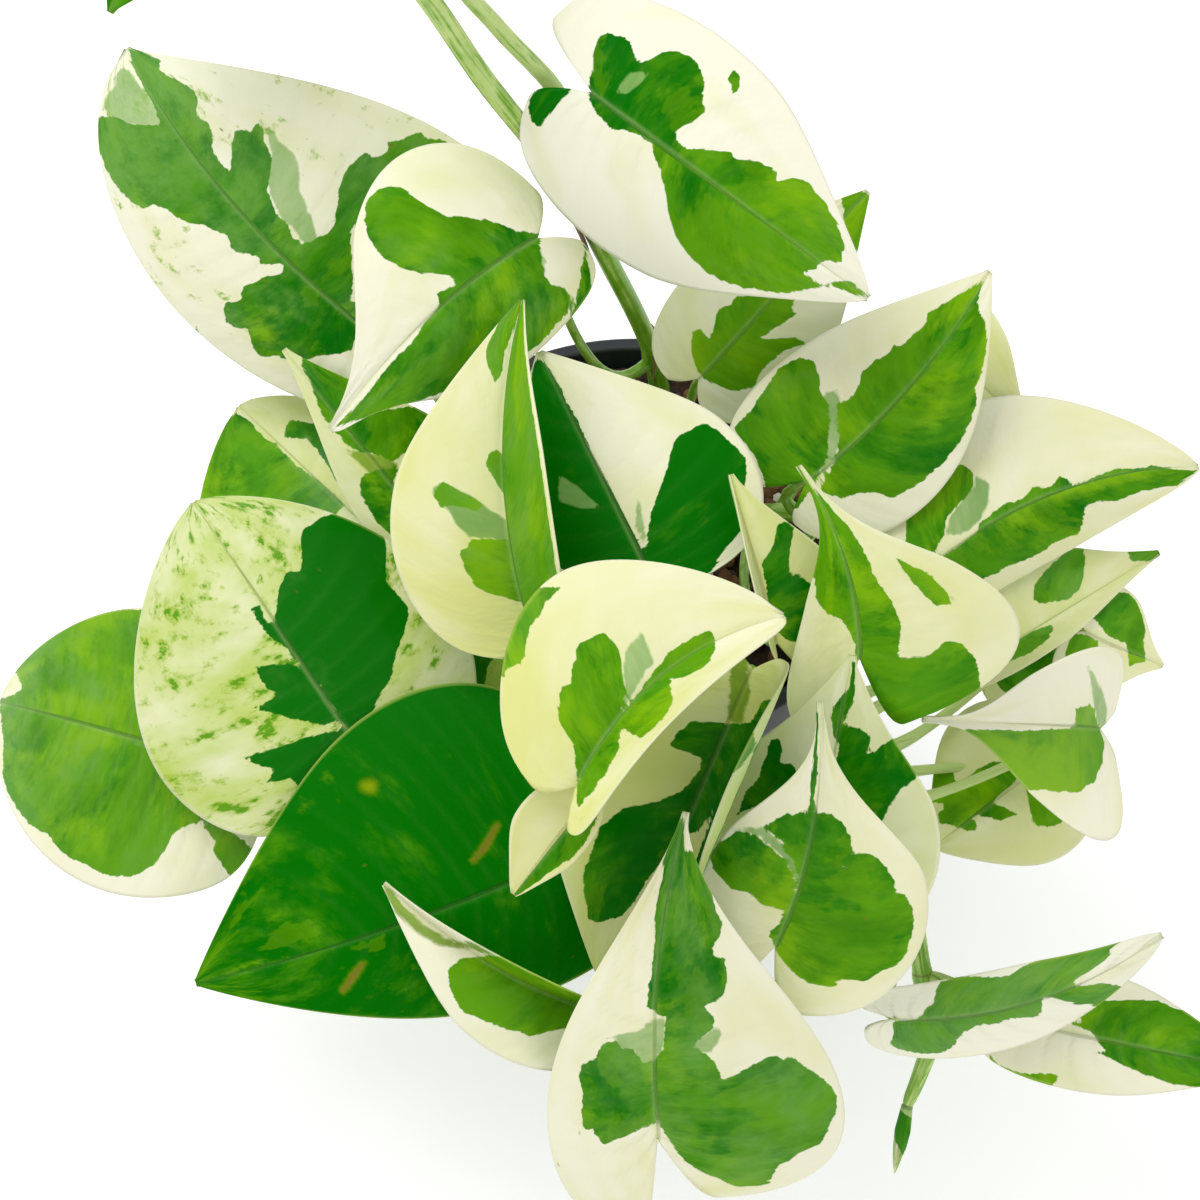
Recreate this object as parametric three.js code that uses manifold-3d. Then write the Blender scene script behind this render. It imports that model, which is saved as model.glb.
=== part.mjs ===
// A trailing houseplant with variegated leaves in a round nursery pot.
// Millimetres, +Z up, origin at the centre of the pot's underside.
import * as THREE from "three";
import { mergeVertices } from "three/addons/utils/BufferGeometryUtils.js";
import Module from "manifold-3d";

const wasm = await Module();
wasm.setup();

// Driving dimensions
const POT_HEIGHT = 104;
const POT_RIM_RADIUS = 57.5;
const POT_FOOT_RADIUS = 41;
const POT_WALL = 1.6;
const POT_FLOOR = 2;
const LIP_HEIGHT = 9;
const LIP_OVERHANG = 2.2;
const EDGE_ROUND = 0.8;
const POT_SIDES = 40;
const DRAIN_HOLES = 6;
const DRAIN_HOLE_RADIUS = 4;
const DRAIN_RING_RADIUS = 28;
const SOIL_TOP = 96.5;
const SOIL_LUMP = 1.6;
const SOIL_SIDES = 28;
const SOIL_RINGS = 6;
const FIT_GAP = 0.35;
const HOLE_GAP = 0.6;
const STEM_FOOT = 86;
const STEM_SIDES = 8;
const STEM_STEP = 7;
const PETIOLE_RADIUS = 1.15;
const PETIOLE_SIDES = 6;
const PETIOLE_STEPS = 7;
const PETIOLE_REACH = 0.3;
const PETIOLE_SLANT = 0.12;
const PETIOLE_INSET = 1.2;
const PETIOLE_DEPTH = 0.5;
const BLADE_THICKNESS = 0.8;
const BLADE_ROWS = 9;
const BLADE_COLUMNS = 3;
const TIP_HALF_WIDTH = 0.5;

// Blade outline: how the rows crowd at the base, where the tip starts to slim and over what share,
// the half width of the notch between the lobes and how fast it closes, and how fast the cross
// lines straighten from base to tip.
const ROW_CROWDING = 0.15;
const MIDRIB_CROWDING = 1.6;
const TAIL_START = 0.5;
const TAIL_SHARE = 0.45;
const SINUS_SHARE = 0.3;
const SINUS_FADE = 8;
const LOBE_FADE = 4;

// Stems: radius and route, each route a list of points from the hole in the soil outwards.
const STEMS = {
  stem_main: {
    radius: 2.3,
    route: [
      [6, 41, STEM_FOOT], [6, 41, 93], [6, 41, 101], [3, 38, 124], [-7, 32, 160],
      [-12, 30, 176], [-20, 27, 196], [-31, 25, 218], [-41, 26, 238], [-57.5, 36, 258],
    ],
  },
  stem_left: {
    radius: 1.9,
    route: [[-24, 14, STEM_FOOT], [-24, 14, 93], [-24, 14, 99], [-31, 8, 120], [-42, 2, 136]],
  },
  stem_front_left: {
    radius: 1.9,
    route: [[-26, -18, STEM_FOOT], [-26, -18, 93], [-26, -18, 99], [-37, -38, 107], [-50, -57, 108]],
  },
  stem_front: {
    radius: 2.1,
    route: [
      [0, -22, STEM_FOOT], [0, -22, 93], [0, -22, 98], [-1, -44, 113], [0, -72, 113],
      [2, -100, 96], [5, -122, 72], [8, -130, 56],
    ],
  },
  stem_right: {
    radius: 1.9,
    route: [[24, 4, STEM_FOOT], [24, 4, 93], [24, 4, 99], [32, -6, 118], [46, -20, 130]],
  },
  stem_trail: {
    radius: 2.1,
    route: [
      [30, -24, STEM_FOOT], [30, -24, 93], [30, -24, 98], [40, -40, 110], [52, -60, 106],
      [56, -75, 95], [60, -91, 80], [63, -102, 66], [64, -107, 61], [62, -112, 54], [59.6, -116.5, 48],
    ],
  },
};

// Leaves: the midrib runs from base to tip, roll turns the upper face about it,
// half and lobe are the widths and the back lobes (as a share of the length) left and right of it,
// belly is the power by which each side narrows to the tip, tail slims the last part of the way,
// fold, curl and arch bend the blade, lean bows the midrib sideways,
// on names the stem and the place along it where the petiole grows, and via lists points of its way.
const LEAVES = {
  leaf_01: {
    base: [-60, 11, 162], tip: [-111, 67, 188], roll: -27, half: [31, 44], lobe: [0.2, 0.2],
    belly: [0.48, 1.12], tail: 0, fold: [-12, 0], curl: [-40, -15], arch: 12, lean: -4,
    on: ["stem_left", 0.95],
  },
  leaf_02: {
    base: [-57, -22, 131], tip: [-90, 18, 126], roll: -23, half: [36, 18], lobe: [0.1, 0.2],
    belly: [0.75, 0.75], tail: 0, fold: [0, 0], curl: [-15, -10], arch: 15, lean: 0, on: ["stem_left", 0.8],
  },
  leaf_03: {
    base: [-42, -31, 139], tip: [-76, 9, 156], roll: -19, half: [11, 20], lobe: [0.2, 0.2],
    belly: [1.2, 1.2], tail: 0.2, fold: [-20, -8], curl: [0, -20], arch: 15, lean: 0,
    on: ["stem_left", 0.65],
  },
  leaf_04: {
    base: [-21, 15, 184], tip: [-63, -23, 168], roll: -32, half: [20, 30], lobe: [0.12, 0.12],
    belly: [0.69, 1.37], tail: 0.6, fold: [0, 5], curl: [-25, -30], arch: 25, lean: 3,
    on: ["stem_main", 0.17],
  },
  leaf_05: {
    base: [-59, -71, 126], tip: [-94, -23, 144], roll: -14, half: [38, 34], lobe: [0.15, 0.2],
    belly: [0.8, 0.8], tail: 0, fold: [0, 0], curl: [-25, -25], arch: 20, lean: 0,
    on: ["stem_front_left", 0.99],
  },
  leaf_06: {
    base: [-25, -68, 114], tip: [-52, -25, 124], roll: -15, half: [18, 16], lobe: [0.2, 0.2],
    belly: [1.2, 1.2], tail: 0.2, fold: [0, 0], curl: [0, 0], arch: 4, lean: 0, on: ["stem_front", 0.36],
  },
  leaf_07: {
    base: [-91, -68, 114], tip: [-144, -37, 88], roll: -30, half: [33, 30], lobe: [0.22, 0.22],
    belly: [0.75, 0.75], tail: 0, fold: [0, 0], curl: [-20, -25], arch: 50, lean: 0,
    on: ["stem_front_left", 0.9],
  },
  leaf_08: {
    base: [-13, -96, 123], tip: [-91, -113, 100], roll: -30, half: [25, 44], lobe: [0.2, 0.05],
    belly: [1, 1], tail: 0.1, fold: [-10, 0], curl: [-25, -20], arch: 20, lean: -2, on: ["stem_front", 0.48],
  },
  leaf_09: {
    base: [-22, -60, 148], tip: [-24, -2, 184], roll: 1, half: [24, 22], lobe: [0.06, 0.06],
    belly: [1, 1], tail: 0.2, fold: [0, 62], curl: [-25, 10], arch: 15, lean: -5,
    on: ["stem_front_left", 0.4],
  },
  leaf_10: {
    base: [-13, -101, 158], tip: [27, -70, 170], roll: 24, half: [29, 15], lobe: [0.12, 0.12],
    belly: [0.65, 0.65], tail: 0.1, fold: [0, 50], curl: [-25, 20], arch: 10, lean: -6,
    on: ["stem_front", 0.24],
    via: [[-11, -48, 132], [-11, -64, 148], [-12, -83, 153]],
  },
  leaf_11: {
    base: [22, -69, 150], tip: [-6, -121, 108], roll: -11, half: [20, 34], lobe: [0.05, 0.05],
    belly: [0.9, 0.9], tail: 0.2, fold: [30, 0], curl: [90, -20], arch: 15, lean: 0,
    on: ["stem_front", 0.42],
  },
  leaf_12: {
    base: [3, -147, 100], tip: [8, -103, 152], roll: 1, half: [22, 38], lobe: [0.36, 0.2],
    belly: [1.5, 1.5], tail: 0.1, fold: [0, -5], curl: [-20, -25], arch: 15, lean: -3,
    on: ["stem_front", 0.9],
  },
  leaf_13: {
    base: [26, -116, 122], tip: [34, -82, 158], roll: 3, half: [19, 27], lobe: [0.2, 0.26],
    belly: [1.15, 1.15], tail: 0.85, fold: [10, 5], curl: [-20, -25], arch: 1, lean: 3,
    on: ["stem_front", 0.62],
  },
  leaf_14: {
    base: [43, -67, 151], tip: [31, -36, 173], roll: -16, half: [16, 33], lobe: [0.35, 0.4],
    belly: [1.9, 1.9], tail: 0.5, fold: [-20, 0], curl: [-20, -20], arch: 15, lean: 3,
    on: ["stem_right", 0.86],
  },
  leaf_15: {
    base: [34, -98, 114], tip: [41, -70, 156], roll: 2, half: [23, 25], lobe: [0.2, 0.2],
    belly: [1.1, 1.1], tail: 0.3, fold: [0, 0], curl: [-20, -20], arch: 10, lean: 0, on: ["stem_trail", 0.3],
  },
  leaf_16: {
    base: [35, -22, 150], tip: [73, 13, 176], roll: 23, half: [23, 20], lobe: [0.14, 0.15],
    belly: [1, 1], tail: 0.1, fold: [0, 0], curl: [-20, -20], arch: 12, lean: 3, on: ["stem_right", 0.72],
  },
  leaf_17: {
    base: [64, 18, 151], tip: [84, -5, 145], roll: 33, half: [12, 20], lobe: [0.2, 0.2],
    belly: [1.2, 1.2], tail: 0.2, fold: [0, 0], curl: [-10, -20], arch: 10, lean: 0, on: ["stem_right", 0.6],
  },
  leaf_18: {
    base: [58, -37, 137], tip: [121, -9, 138], roll: 30, half: [25, 17], lobe: [0.15, 0.15],
    belly: [0.8, 0.8], tail: 0.1, fold: [0, -20], curl: [-20, -30], arch: 20, lean: -6,
    on: ["stem_right", 0.98],
  },
  leaf_19: {
    base: [-10, 24, 216], tip: [45, -8, 191], roll: 37, half: [24, 26], lobe: [0.22, 0.15],
    belly: [0.85, 0.85], tail: 0.25, fold: [0, -10], curl: [-20, -30], arch: 20, lean: 0,
    on: ["stem_main", 0.5],
  },
  leaf_20: {
    base: [13, 9, 146], tip: [49, 36, 176], roll: 30, half: [17, 18], lobe: [0.08, 0.08],
    belly: [1, 1], tail: 0.2, fold: [0, 0], curl: [-20, -20], arch: 10, lean: 0, on: ["stem_main", 0.1],
  },
  leaf_21: {
    base: [2, -47, 150], tip: [-21, -2, 168], roll: -16, half: [26, 30], lobe: [0.1, 0.08],
    belly: [1, 1], tail: 0.2, fold: [0, 0], curl: [-20, -20], arch: 10, lean: 0, on: ["stem_right", 0.38],
  },
  leaf_22: {
    base: [27, -59, 145], tip: [18, -32, 165], roll: -12, half: [8, 17], lobe: [0.1, 0.2],
    belly: [1.2, 1.2], tail: 0.2, fold: [80, 0], curl: [0, -10], arch: 10, lean: 0, on: ["stem_right", 0.5],
  },
  leaf_23: {
    base: [75, -45, 119], tip: [114, -20, 122], roll: 24, half: [16, 7], lobe: [0.1, 0.2],
    belly: [1, 1], tail: 0.4, fold: [10, -20], curl: [-20, -20], arch: 10, lean: 0, on: ["stem_trail", 0.36],
  },
  leaf_24: {
    base: [97, -36, 115], tip: [115, -40, 107], roll: 39, half: [12, 14], lobe: [0.2, 0.2],
    belly: [1, 1], tail: 0.5, fold: [0, 0], curl: [-20, -20], arch: 10, lean: 0, on: ["stem_trail", 0.42],
  },
  leaf_25: {
    base: [97, -63, 118], tip: [57, -72, 136], roll: -36, half: [23, 17], lobe: [0.06, 0.06],
    belly: [1.9, 1.9], tail: 0.75, fold: [20, 20], curl: [0, 0], arch: 10, lean: 0, on: ["stem_trail", 0.5],
  },
  leaf_26: {
    base: [88, -61, 100], tip: [63, -78, 94], roll: -20, half: [18, 20], lobe: [0.2, 0.2],
    belly: [0.9, 0.9], tail: 0.1, fold: [0, 0], curl: [-20, -20], arch: 10, lean: 0,
    on: ["stem_trail", 0.46],
  },
  leaf_27: {
    base: [-8, -122, 105], tip: [-51, -104, 126], roll: -24, half: [15, 14], lobe: [0.1, 0.1],
    belly: [1, 1], tail: 0.2, fold: [10, 80], curl: [0, 0], arch: 10, lean: -3, on: ["stem_front", 0.7],
  },
  leaf_28: {
    base: [52, -117, 92], tip: [109, -100, 96], roll: 23, half: [8, 13], lobe: [0.1, 0.1],
    belly: [0.7, 0.7], tail: 0.2, fold: [10, -40], curl: [-10, -20], arch: -25, lean: 5,
    on: ["stem_trail", 0.68],
  },
  leaf_29: {
    base: [85, -110, 74], tip: [133, -118, 68], roll: 27, half: [14, 12], lobe: [0.25, 0.25],
    belly: [0.9, 0.9], tail: 0.2, fold: [0, 0], curl: [-20, -20], arch: 10, lean: 0,
    on: ["stem_trail", 0.78],
  },
  leaf_30: {
    base: [77, -39, 104], tip: [103, -26, 104], roll: 27, half: [12, 12], lobe: [0.1, 0.1],
    belly: [0.9, 0.9], tail: 0.2, fold: [0, 0], curl: [-20, -20], arch: 10, lean: 0,
    on: ["stem_trail", 0.33],
  },
  leaf_31: {
    base: [-11, -98, 146], tip: [-25, -112, 136], roll: -20, half: [5, 10], lobe: [0.1, 0.1],
    belly: [0.8, 0.8], tail: 0.3, fold: [0, 20], curl: [-10, 0], arch: 15, lean: 0, on: ["stem_front", 0.3],
    via: [[-15, -50, 129], [-17, -72, 146], [-18, -88, 147]],
  },
  leaf_32: {
    base: [-86, 74, 240], tip: [-107, 44, 222], roll: -15, half: [20, 20], lobe: [0.2, 0.2],
    belly: [1.1, 1.1], tail: 0.2, fold: [0, 0], curl: [-20, -20], arch: 20, lean: 0, on: ["stem_main", 0.97],
  },
  leaf_33: {
    base: [-46, 46, 255], tip: [-12, 74, 241], roll: 34, half: [20, 20], lobe: [0.2, 0.2],
    belly: [1.1, 1.1], tail: 0.2, fold: [0, 0], curl: [-20, -20], arch: 20, lean: 0, on: ["stem_main", 0.61],
    via: [[-16, 34, 202], [-28, 31, 226], [-35, 30, 238], [-42, 36, 250]],
  },
};

// The rolled young leaf at the end of the trailing stem
const NEW_LEAF = { base: [59.4, -116.9, 47.4], tip: [57.6, -126, 31], radius: 1.8 };

const COLOURS = {
  pot: new THREE.Color(0x23292b),
  soil: new THREE.Color(0x2e1f16),
  stem: new THREE.Color(0x6f9a3c),
  leaf: new THREE.Color(0xd9dfa0),
};

const vec = (p) => new THREE.Vector3(...p);
const rad = THREE.MathUtils.degToRad;
const clamp01 = (x) => THREE.MathUtils.clamp(x, 0, 1);

// A closed geometry as a solid, and back.
function solidOf(geometry) {
  const bare = geometry.index ? geometry.toNonIndexed() : geometry.clone();
  const shape = new THREE.BufferGeometry().setAttribute("position", bare.getAttribute("position"));
  const merged = mergeVertices(shape, 1e-4);
  return new wasm.Manifold(
    new wasm.Mesh({
      numProp: 3,
      vertProperties: merged.attributes.position.array,
      triVerts: new Uint32Array(merged.index.array),
    }),
  );
}

function geometryOf(solid) {
  const mesh = solid.getMesh();
  const positions = new Float32Array(mesh.vertProperties);
  const geometry = new THREE.BufferGeometry()
    .setAttribute("position", new THREE.BufferAttribute(positions, 3))
    .setIndex(new THREE.BufferAttribute(new Uint32Array(mesh.triVerts), 1));
  geometry.computeVertexNormals();
  return geometry;
}

// A round tube with flat ends along a curve.
function tube(curve, radius, sides, steps) {
  const section = new THREE.Shape();
  for (let i = 0; i < sides; i++) {
    const a = (2 * Math.PI * i) / sides;
    if (i === 0) section.moveTo(radius, 0);
    else section.lineTo(radius * Math.cos(a), radius * Math.sin(a));
  }
  section.closePath();
  return new THREE.ExtrudeGeometry(section, {
    steps,
    curveSegments: 1,
    bevelEnabled: false,
    extrudePath: curve,
  });
}

// The outer radius of the pot's wall at height z, lip aside.
function wallAt(z) {
  return POT_FOOT_RADIUS + ((POT_RIM_RADIUS - LIP_OVERHANG - POT_FOOT_RADIUS) * z) / POT_HEIGHT;
}

function pot() {
  const lipFoot = POT_HEIGHT - LIP_HEIGHT;
  const profile = [
    [0, 0],
    [POT_FOOT_RADIUS - EDGE_ROUND, 0],
    [POT_FOOT_RADIUS, EDGE_ROUND],
    [wallAt(lipFoot), lipFoot],
    [POT_RIM_RADIUS - EDGE_ROUND / 2, lipFoot + EDGE_ROUND],
    [POT_RIM_RADIUS, POT_HEIGHT - EDGE_ROUND],
    [POT_RIM_RADIUS - EDGE_ROUND, POT_HEIGHT],
    [wallAt(POT_HEIGHT) - POT_WALL + EDGE_ROUND, POT_HEIGHT],
    [wallAt(POT_HEIGHT) - POT_WALL, POT_HEIGHT - EDGE_ROUND],
    [wallAt(POT_FLOOR) - POT_WALL, POT_FLOOR],
    [0, POT_FLOOR],
  ].map(([r, z]) => new THREE.Vector2(r, z));
  const body = new THREE.LatheGeometry(profile, POT_SIDES).rotateX(Math.PI / 2);
  let solid = solidOf(body);
  for (let i = 0; i < DRAIN_HOLES; i++) {
    const a = (2 * Math.PI * i) / DRAIN_HOLES;
    const drill = new THREE.CylinderGeometry(DRAIN_HOLE_RADIUS, DRAIN_HOLE_RADIUS, 4 * POT_FLOOR, 12)
      .rotateX(Math.PI / 2)
      .translate(DRAIN_RING_RADIUS * Math.cos(a), DRAIN_RING_RADIUS * Math.sin(a), POT_FLOOR / 2);
    solid = solid.subtract(solidOf(drill));
  }
  return geometryOf(solid);
}

// The soil fills the pot, lumpy on top, with a plain hole for each stem.
function soil() {
  const inner = (z) => wallAt(z) - POT_WALL - FIT_GAP;
  const foot = POT_FLOOR + FIT_GAP;
  const shoulder = SOIL_TOP - 2 * SOIL_LUMP;
  const profile = [[0, foot], [inner(foot), foot], [inner(shoulder), shoulder]];
  for (let ring = SOIL_RINGS; ring >= 0; ring--) {
    profile.push([(0.9 * inner(SOIL_TOP) * ring) / SOIL_RINGS, SOIL_TOP]);
  }
  const body = new THREE.LatheGeometry(
    profile.map(([r, z]) => new THREE.Vector2(r, z)),
    SOIL_SIDES,
  ).rotateX(Math.PI / 2);
  const at = body.attributes.position;
  for (let i = 0; i < at.count; i++) {
    const [x, y, z] = [at.getX(i), at.getY(i), at.getZ(i)];
    if (z < SOIL_TOP) continue;
    const lumps = Math.sin(0.31 * x + 1) * Math.cos(0.27 * y) + 0.6 * Math.sin(0.53 * y + 0.4 * x);
    at.setZ(i, z + SOIL_LUMP * lumps);
  }
  let solid = solidOf(body);
  for (const { radius, route } of Object.values(STEMS)) {
    const [x, y, z] = route[0];
    const hole = new THREE.CylinderGeometry(radius + HOLE_GAP, radius + HOLE_GAP, POT_HEIGHT, 12)
      .rotateX(Math.PI / 2)
      .translate(x, y, z - FIT_GAP + POT_HEIGHT / 2);
    solid = solid.subtract(solidOf(hole));
  }
  return geometryOf(solid);
}

const stemCurve = (name) => new THREE.CatmullRomCurve3(STEMS[name].route.map(vec));

function stem(name) {
  const curve = stemCurve(name);
  const steps = Math.round(curve.getLength() / STEM_STEP);
  return tube(curve, STEMS[name].radius, STEM_SIDES, steps);
}

// The blade's own axes: across to the right, along the midrib, and up from the upper face.
function axesOf(leaf) {
  const along = vec(leaf.tip).sub(vec(leaf.base)).normalize();
  const level = new THREE.Vector3(0, 0, 1).addScaledVector(along, -along.z).normalize();
  const side = new THREE.Vector3().crossVectors(along, level);
  const roll = rad(leaf.roll);
  const up = level.multiplyScalar(Math.cos(roll)).addScaledVector(side, Math.sin(roll));
  return { along, up, across: new THREE.Vector3().crossVectors(along, up) };
}

function lengthOf(leaf) {
  const half = rad(leaf.arch) / 2;
  return (vec(leaf.tip).distanceTo(vec(leaf.base)) * half) / Math.sin(half);
}

// A point of the flat blade: u runs from the midrib (0) to the margin (1) and v from the base to
// the tip. The margin is widest near the base and narrows by the power belly; tail slims the tip.
// Near the base the cross lines bend backwards, which rounds the two lobes.
function flatPoint(leaf, length, side, u, v) {
  const width = leaf.half[side];
  const back = leaf.lobe[side] * length;
  const sinus = SINUS_SHARE * width;
  const w = (v * v * (1 + ROW_CROWDING)) / (v + ROW_CROWDING);
  const belly = leaf.belly[side];
  const widest = 0.5 / (0.5 + belly);
  const bulge = (w / widest) ** 0.5 * ((1 - w) / (1 - widest)) ** belly;
  const q = clamp01((w - TAIL_START) / TAIL_SHARE);
  const slim = 1 - leaf.tail * q * q * (3 - 2 * q);
  const marginX = width * bulge * slim + sinus * (1 - w) ** SINUS_FADE + TIP_HALF_WIDTH * w;
  const marginY = -back + (length + back) * w;
  const midribY = length * v ** MIDRIB_CROWDING;
  const round = (1 - v) ** LOBE_FADE;
  const share = u * (1 - round) + Math.sin((Math.PI / 2) * u) * round;
  return [u * marginX, midribY + share * (marginY - midribY)];
}

// The same point on the bent blade, in the part's frame.
function bladePoint(leaf, side, u, v) {
  const length = lengthOf(leaf);
  const { along, up, across } = axesOf(leaf);
  const [x, y] = flatPoint(leaf, length, side, u, v);
  const arch = rad(leaf.arch);
  const slope = arch / 2 - (arch * y) / length;
  const forward = (length / arch) * (Math.sin(arch / 2) - Math.sin(slope));
  const height = (length / arch) * (Math.cos(slope) - Math.cos(arch / 2));
  const fold = rad(leaf.fold[side]);
  const curl = rad(leaf.curl[side] || 0.1);
  const share = x / leaf.half[side];
  const radius = leaf.half[side] / curl;
  const lateral = radius * (Math.sin(fold + curl * share) - Math.sin(fold));
  const rise = -radius * (Math.cos(fold + curl * share) - Math.cos(fold));
  const t = y / length;
  const bow = 4 * leaf.lean * t * (1 - Math.max(t, 0));
  const sign = side === 1 ? 1 : -1;
  return vec(leaf.base)
    .addScaledVector(across, sign * lateral + bow)
    .addScaledVector(along, forward - rise * Math.sin(slope))
    .addScaledVector(up, height + rise * Math.cos(slope));
}

// The blade as one closed solid: the upper face on a grid, the lower face the same grid moved
// down along the normals, and a wall around the edge.
function blade(leaf) {
  const columns = 2 * BLADE_COLUMNS + 1;
  const rows = BLADE_ROWS + 1;
  const top = [];
  for (let j = 0; j < rows; j++) {
    for (let i = 0; i < columns; i++) {
      const side = i < BLADE_COLUMNS ? 0 : 1;
      const u = Math.abs(i - BLADE_COLUMNS) / BLADE_COLUMNS;
      top.push(bladePoint(leaf, side, u, j / BLADE_ROWS));
    }
  }
  const faces = [];
  for (let j = 0; j < rows - 1; j++) {
    for (let i = 0; i < columns - 1; i++) {
      const a = j * columns + i;
      const [b, c, d] = [a + 1, a + columns, a + columns + 1];
      if (i < BLADE_COLUMNS) faces.push([a, b, c], [b, d, c]);
      else faces.push([a, b, d], [a, d, c]);
    }
  }
  const sheet = new THREE.BufferGeometry().setFromPoints(top).setIndex(faces.flat());
  sheet.computeVertexNormals();
  const normals = sheet.attributes.normal;
  const bottom = top.map((p, k) =>
    p.clone().addScaledVector(new THREE.Vector3().fromBufferAttribute(normals, k), -BLADE_THICKNESS),
  );
  const rim = [];
  for (let i = 0; i < columns; i++) rim.push(i);
  for (let j = 1; j < rows; j++) rim.push(j * columns + columns - 1);
  for (let i = columns - 2; i >= 0; i--) rim.push((rows - 1) * columns + i);
  for (let j = rows - 2; j > 0; j--) rim.push(j * columns);
  const under = top.length;
  const all = faces.concat(faces.map(([a, b, c]) => [a + under, c + under, b + under]));
  rim.forEach((a, k) => {
    const b = rim[(k + 1) % rim.length];
    all.push([a, a + under, b], [b, a + under, b + under]);
  });
  return new THREE.BufferGeometry().setFromPoints(top.concat(bottom)).setIndex(all.flat());
}

// The petiole leaves its stem square to it, rises and meets the blade from below. Where other
// leaves stand in its way it runs through the points of via instead.
function petiole(leaf) {
  const [name, place] = leaf.on;
  const curve = stemCurve(name);
  const joint = curve.getPointAt(place);
  const direction = curve.getTangentAt(place);
  const { along, up } = axesOf(leaf);
  const end = vec(leaf.base).addScaledVector(along, PETIOLE_INSET).addScaledVector(up, -PETIOLE_DEPTH);
  const reach = end.distanceTo(joint);
  const away = (leaf.via ? vec(leaf.via[0]) : end.clone()).sub(joint);
  const out = away.addScaledVector(direction, -away.dot(direction)).normalize();
  const start = joint.addScaledVector(out, STEMS[name].radius + FIT_GAP);
  const first = start.clone().addScaledVector(out, PETIOLE_REACH * reach);
  const last = end
    .clone()
    .addScaledVector(up, -PETIOLE_REACH * reach)
    .addScaledVector(along, -PETIOLE_SLANT * reach);
  const route = leaf.via
    ? new THREE.CatmullRomCurve3([start, ...leaf.via.map(vec), end])
    : new THREE.CubicBezierCurve3(start, first, last, end);
  return tube(route, PETIOLE_RADIUS, PETIOLE_SIDES, PETIOLE_STEPS);
}

function leafGeometry(leaf) {
  return geometryOf(solidOf(blade(leaf)).add(solidOf(petiole(leaf))));
}

// A young leaf still rolled up: a slim spindle.
function newLeaf() {
  const { base, tip, radius } = NEW_LEAF;
  const length = vec(tip).distanceTo(vec(base));
  const profile = [[0, 0], [0.55, 0], [0.8, 0.15], [1, 0.4], [0.7, 0.7], [0.2, 0.97], [0, 1]];
  const turn = new THREE.Quaternion().setFromUnitVectors(
    new THREE.Vector3(0, 1, 0),
    vec(tip).sub(vec(base)).normalize(),
  );
  return new THREE.LatheGeometry(
    profile.map(([r, y]) => new THREE.Vector2(r * radius, y * length)),
    STEM_SIDES,
  )
    .applyQuaternion(turn)
    .translate(...base);
}

const group = new THREE.Group();

function add(name, geometry, colour, roughness) {
  const material = new THREE.MeshStandardMaterial({ color: colour, roughness, metalness: 0 });
  const mesh = new THREE.Mesh(geometry, material);
  mesh.name = name;
  group.add(mesh);
}

add("pot", pot(), COLOURS.pot, 0.5);
add("soil", soil(), COLOURS.soil, 0.95);
for (const name of Object.keys(STEMS)) add(name, stem(name), COLOURS.stem, 0.5);
for (const [name, leaf] of Object.entries(LEAVES)) add(name, leafGeometry(leaf), COLOURS.leaf, 0.4);
add("new_leaf", newLeaf(), COLOURS.leaf, 0.4);

export default group;
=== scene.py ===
"""A potted trailing vine with cream and green leaves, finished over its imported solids.

Lengths are in metres unless a comment says otherwise, in the frame of the solids: the origin at
the middle of the pot's bottom, +Z up and the front of the plant towards -Y. Each leaf is one bent
sheet with its veins, its thin edge and its leaf stalk, and carries the outlines of its green
patches as distances.
"""
import math

import bpy
import numpy as np
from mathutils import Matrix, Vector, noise


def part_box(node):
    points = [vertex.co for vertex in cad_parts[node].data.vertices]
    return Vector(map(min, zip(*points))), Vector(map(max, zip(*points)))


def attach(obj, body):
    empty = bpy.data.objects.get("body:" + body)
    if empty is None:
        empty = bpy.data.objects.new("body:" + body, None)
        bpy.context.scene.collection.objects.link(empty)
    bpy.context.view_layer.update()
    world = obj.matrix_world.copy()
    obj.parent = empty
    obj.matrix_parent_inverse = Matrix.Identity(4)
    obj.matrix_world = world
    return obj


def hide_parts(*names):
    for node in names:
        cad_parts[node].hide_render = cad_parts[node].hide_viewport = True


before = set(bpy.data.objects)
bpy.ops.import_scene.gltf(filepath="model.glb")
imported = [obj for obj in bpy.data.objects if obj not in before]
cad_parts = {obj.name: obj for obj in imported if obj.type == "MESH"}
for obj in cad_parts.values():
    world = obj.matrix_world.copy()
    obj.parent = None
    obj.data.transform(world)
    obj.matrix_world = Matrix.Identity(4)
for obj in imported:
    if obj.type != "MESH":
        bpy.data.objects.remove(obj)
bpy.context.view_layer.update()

# ---- The camera, which looks down on the plant from the front ----

CAMERA_PLACE = np.array([-0.0083, -0.3418, 0.5633])
CAMERA_TILT = math.radians(35)
CAMERA_LENS = 75.0
SENSOR = 36.0
PICTURE = 1200
PIXELS_AT_ONE = PICTURE * CAMERA_LENS / SENSOR

camera_data = bpy.data.cameras.new("camera")
camera_data.lens = CAMERA_LENS
camera_data.sensor_width = SENSOR
camera = bpy.data.objects.new("camera", camera_data)
camera.location = CAMERA_PLACE
camera.rotation_euler = (CAMERA_TILT, 0, 0)
bpy.context.scene.collection.objects.link(camera)
bpy.context.scene.camera = camera


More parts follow.
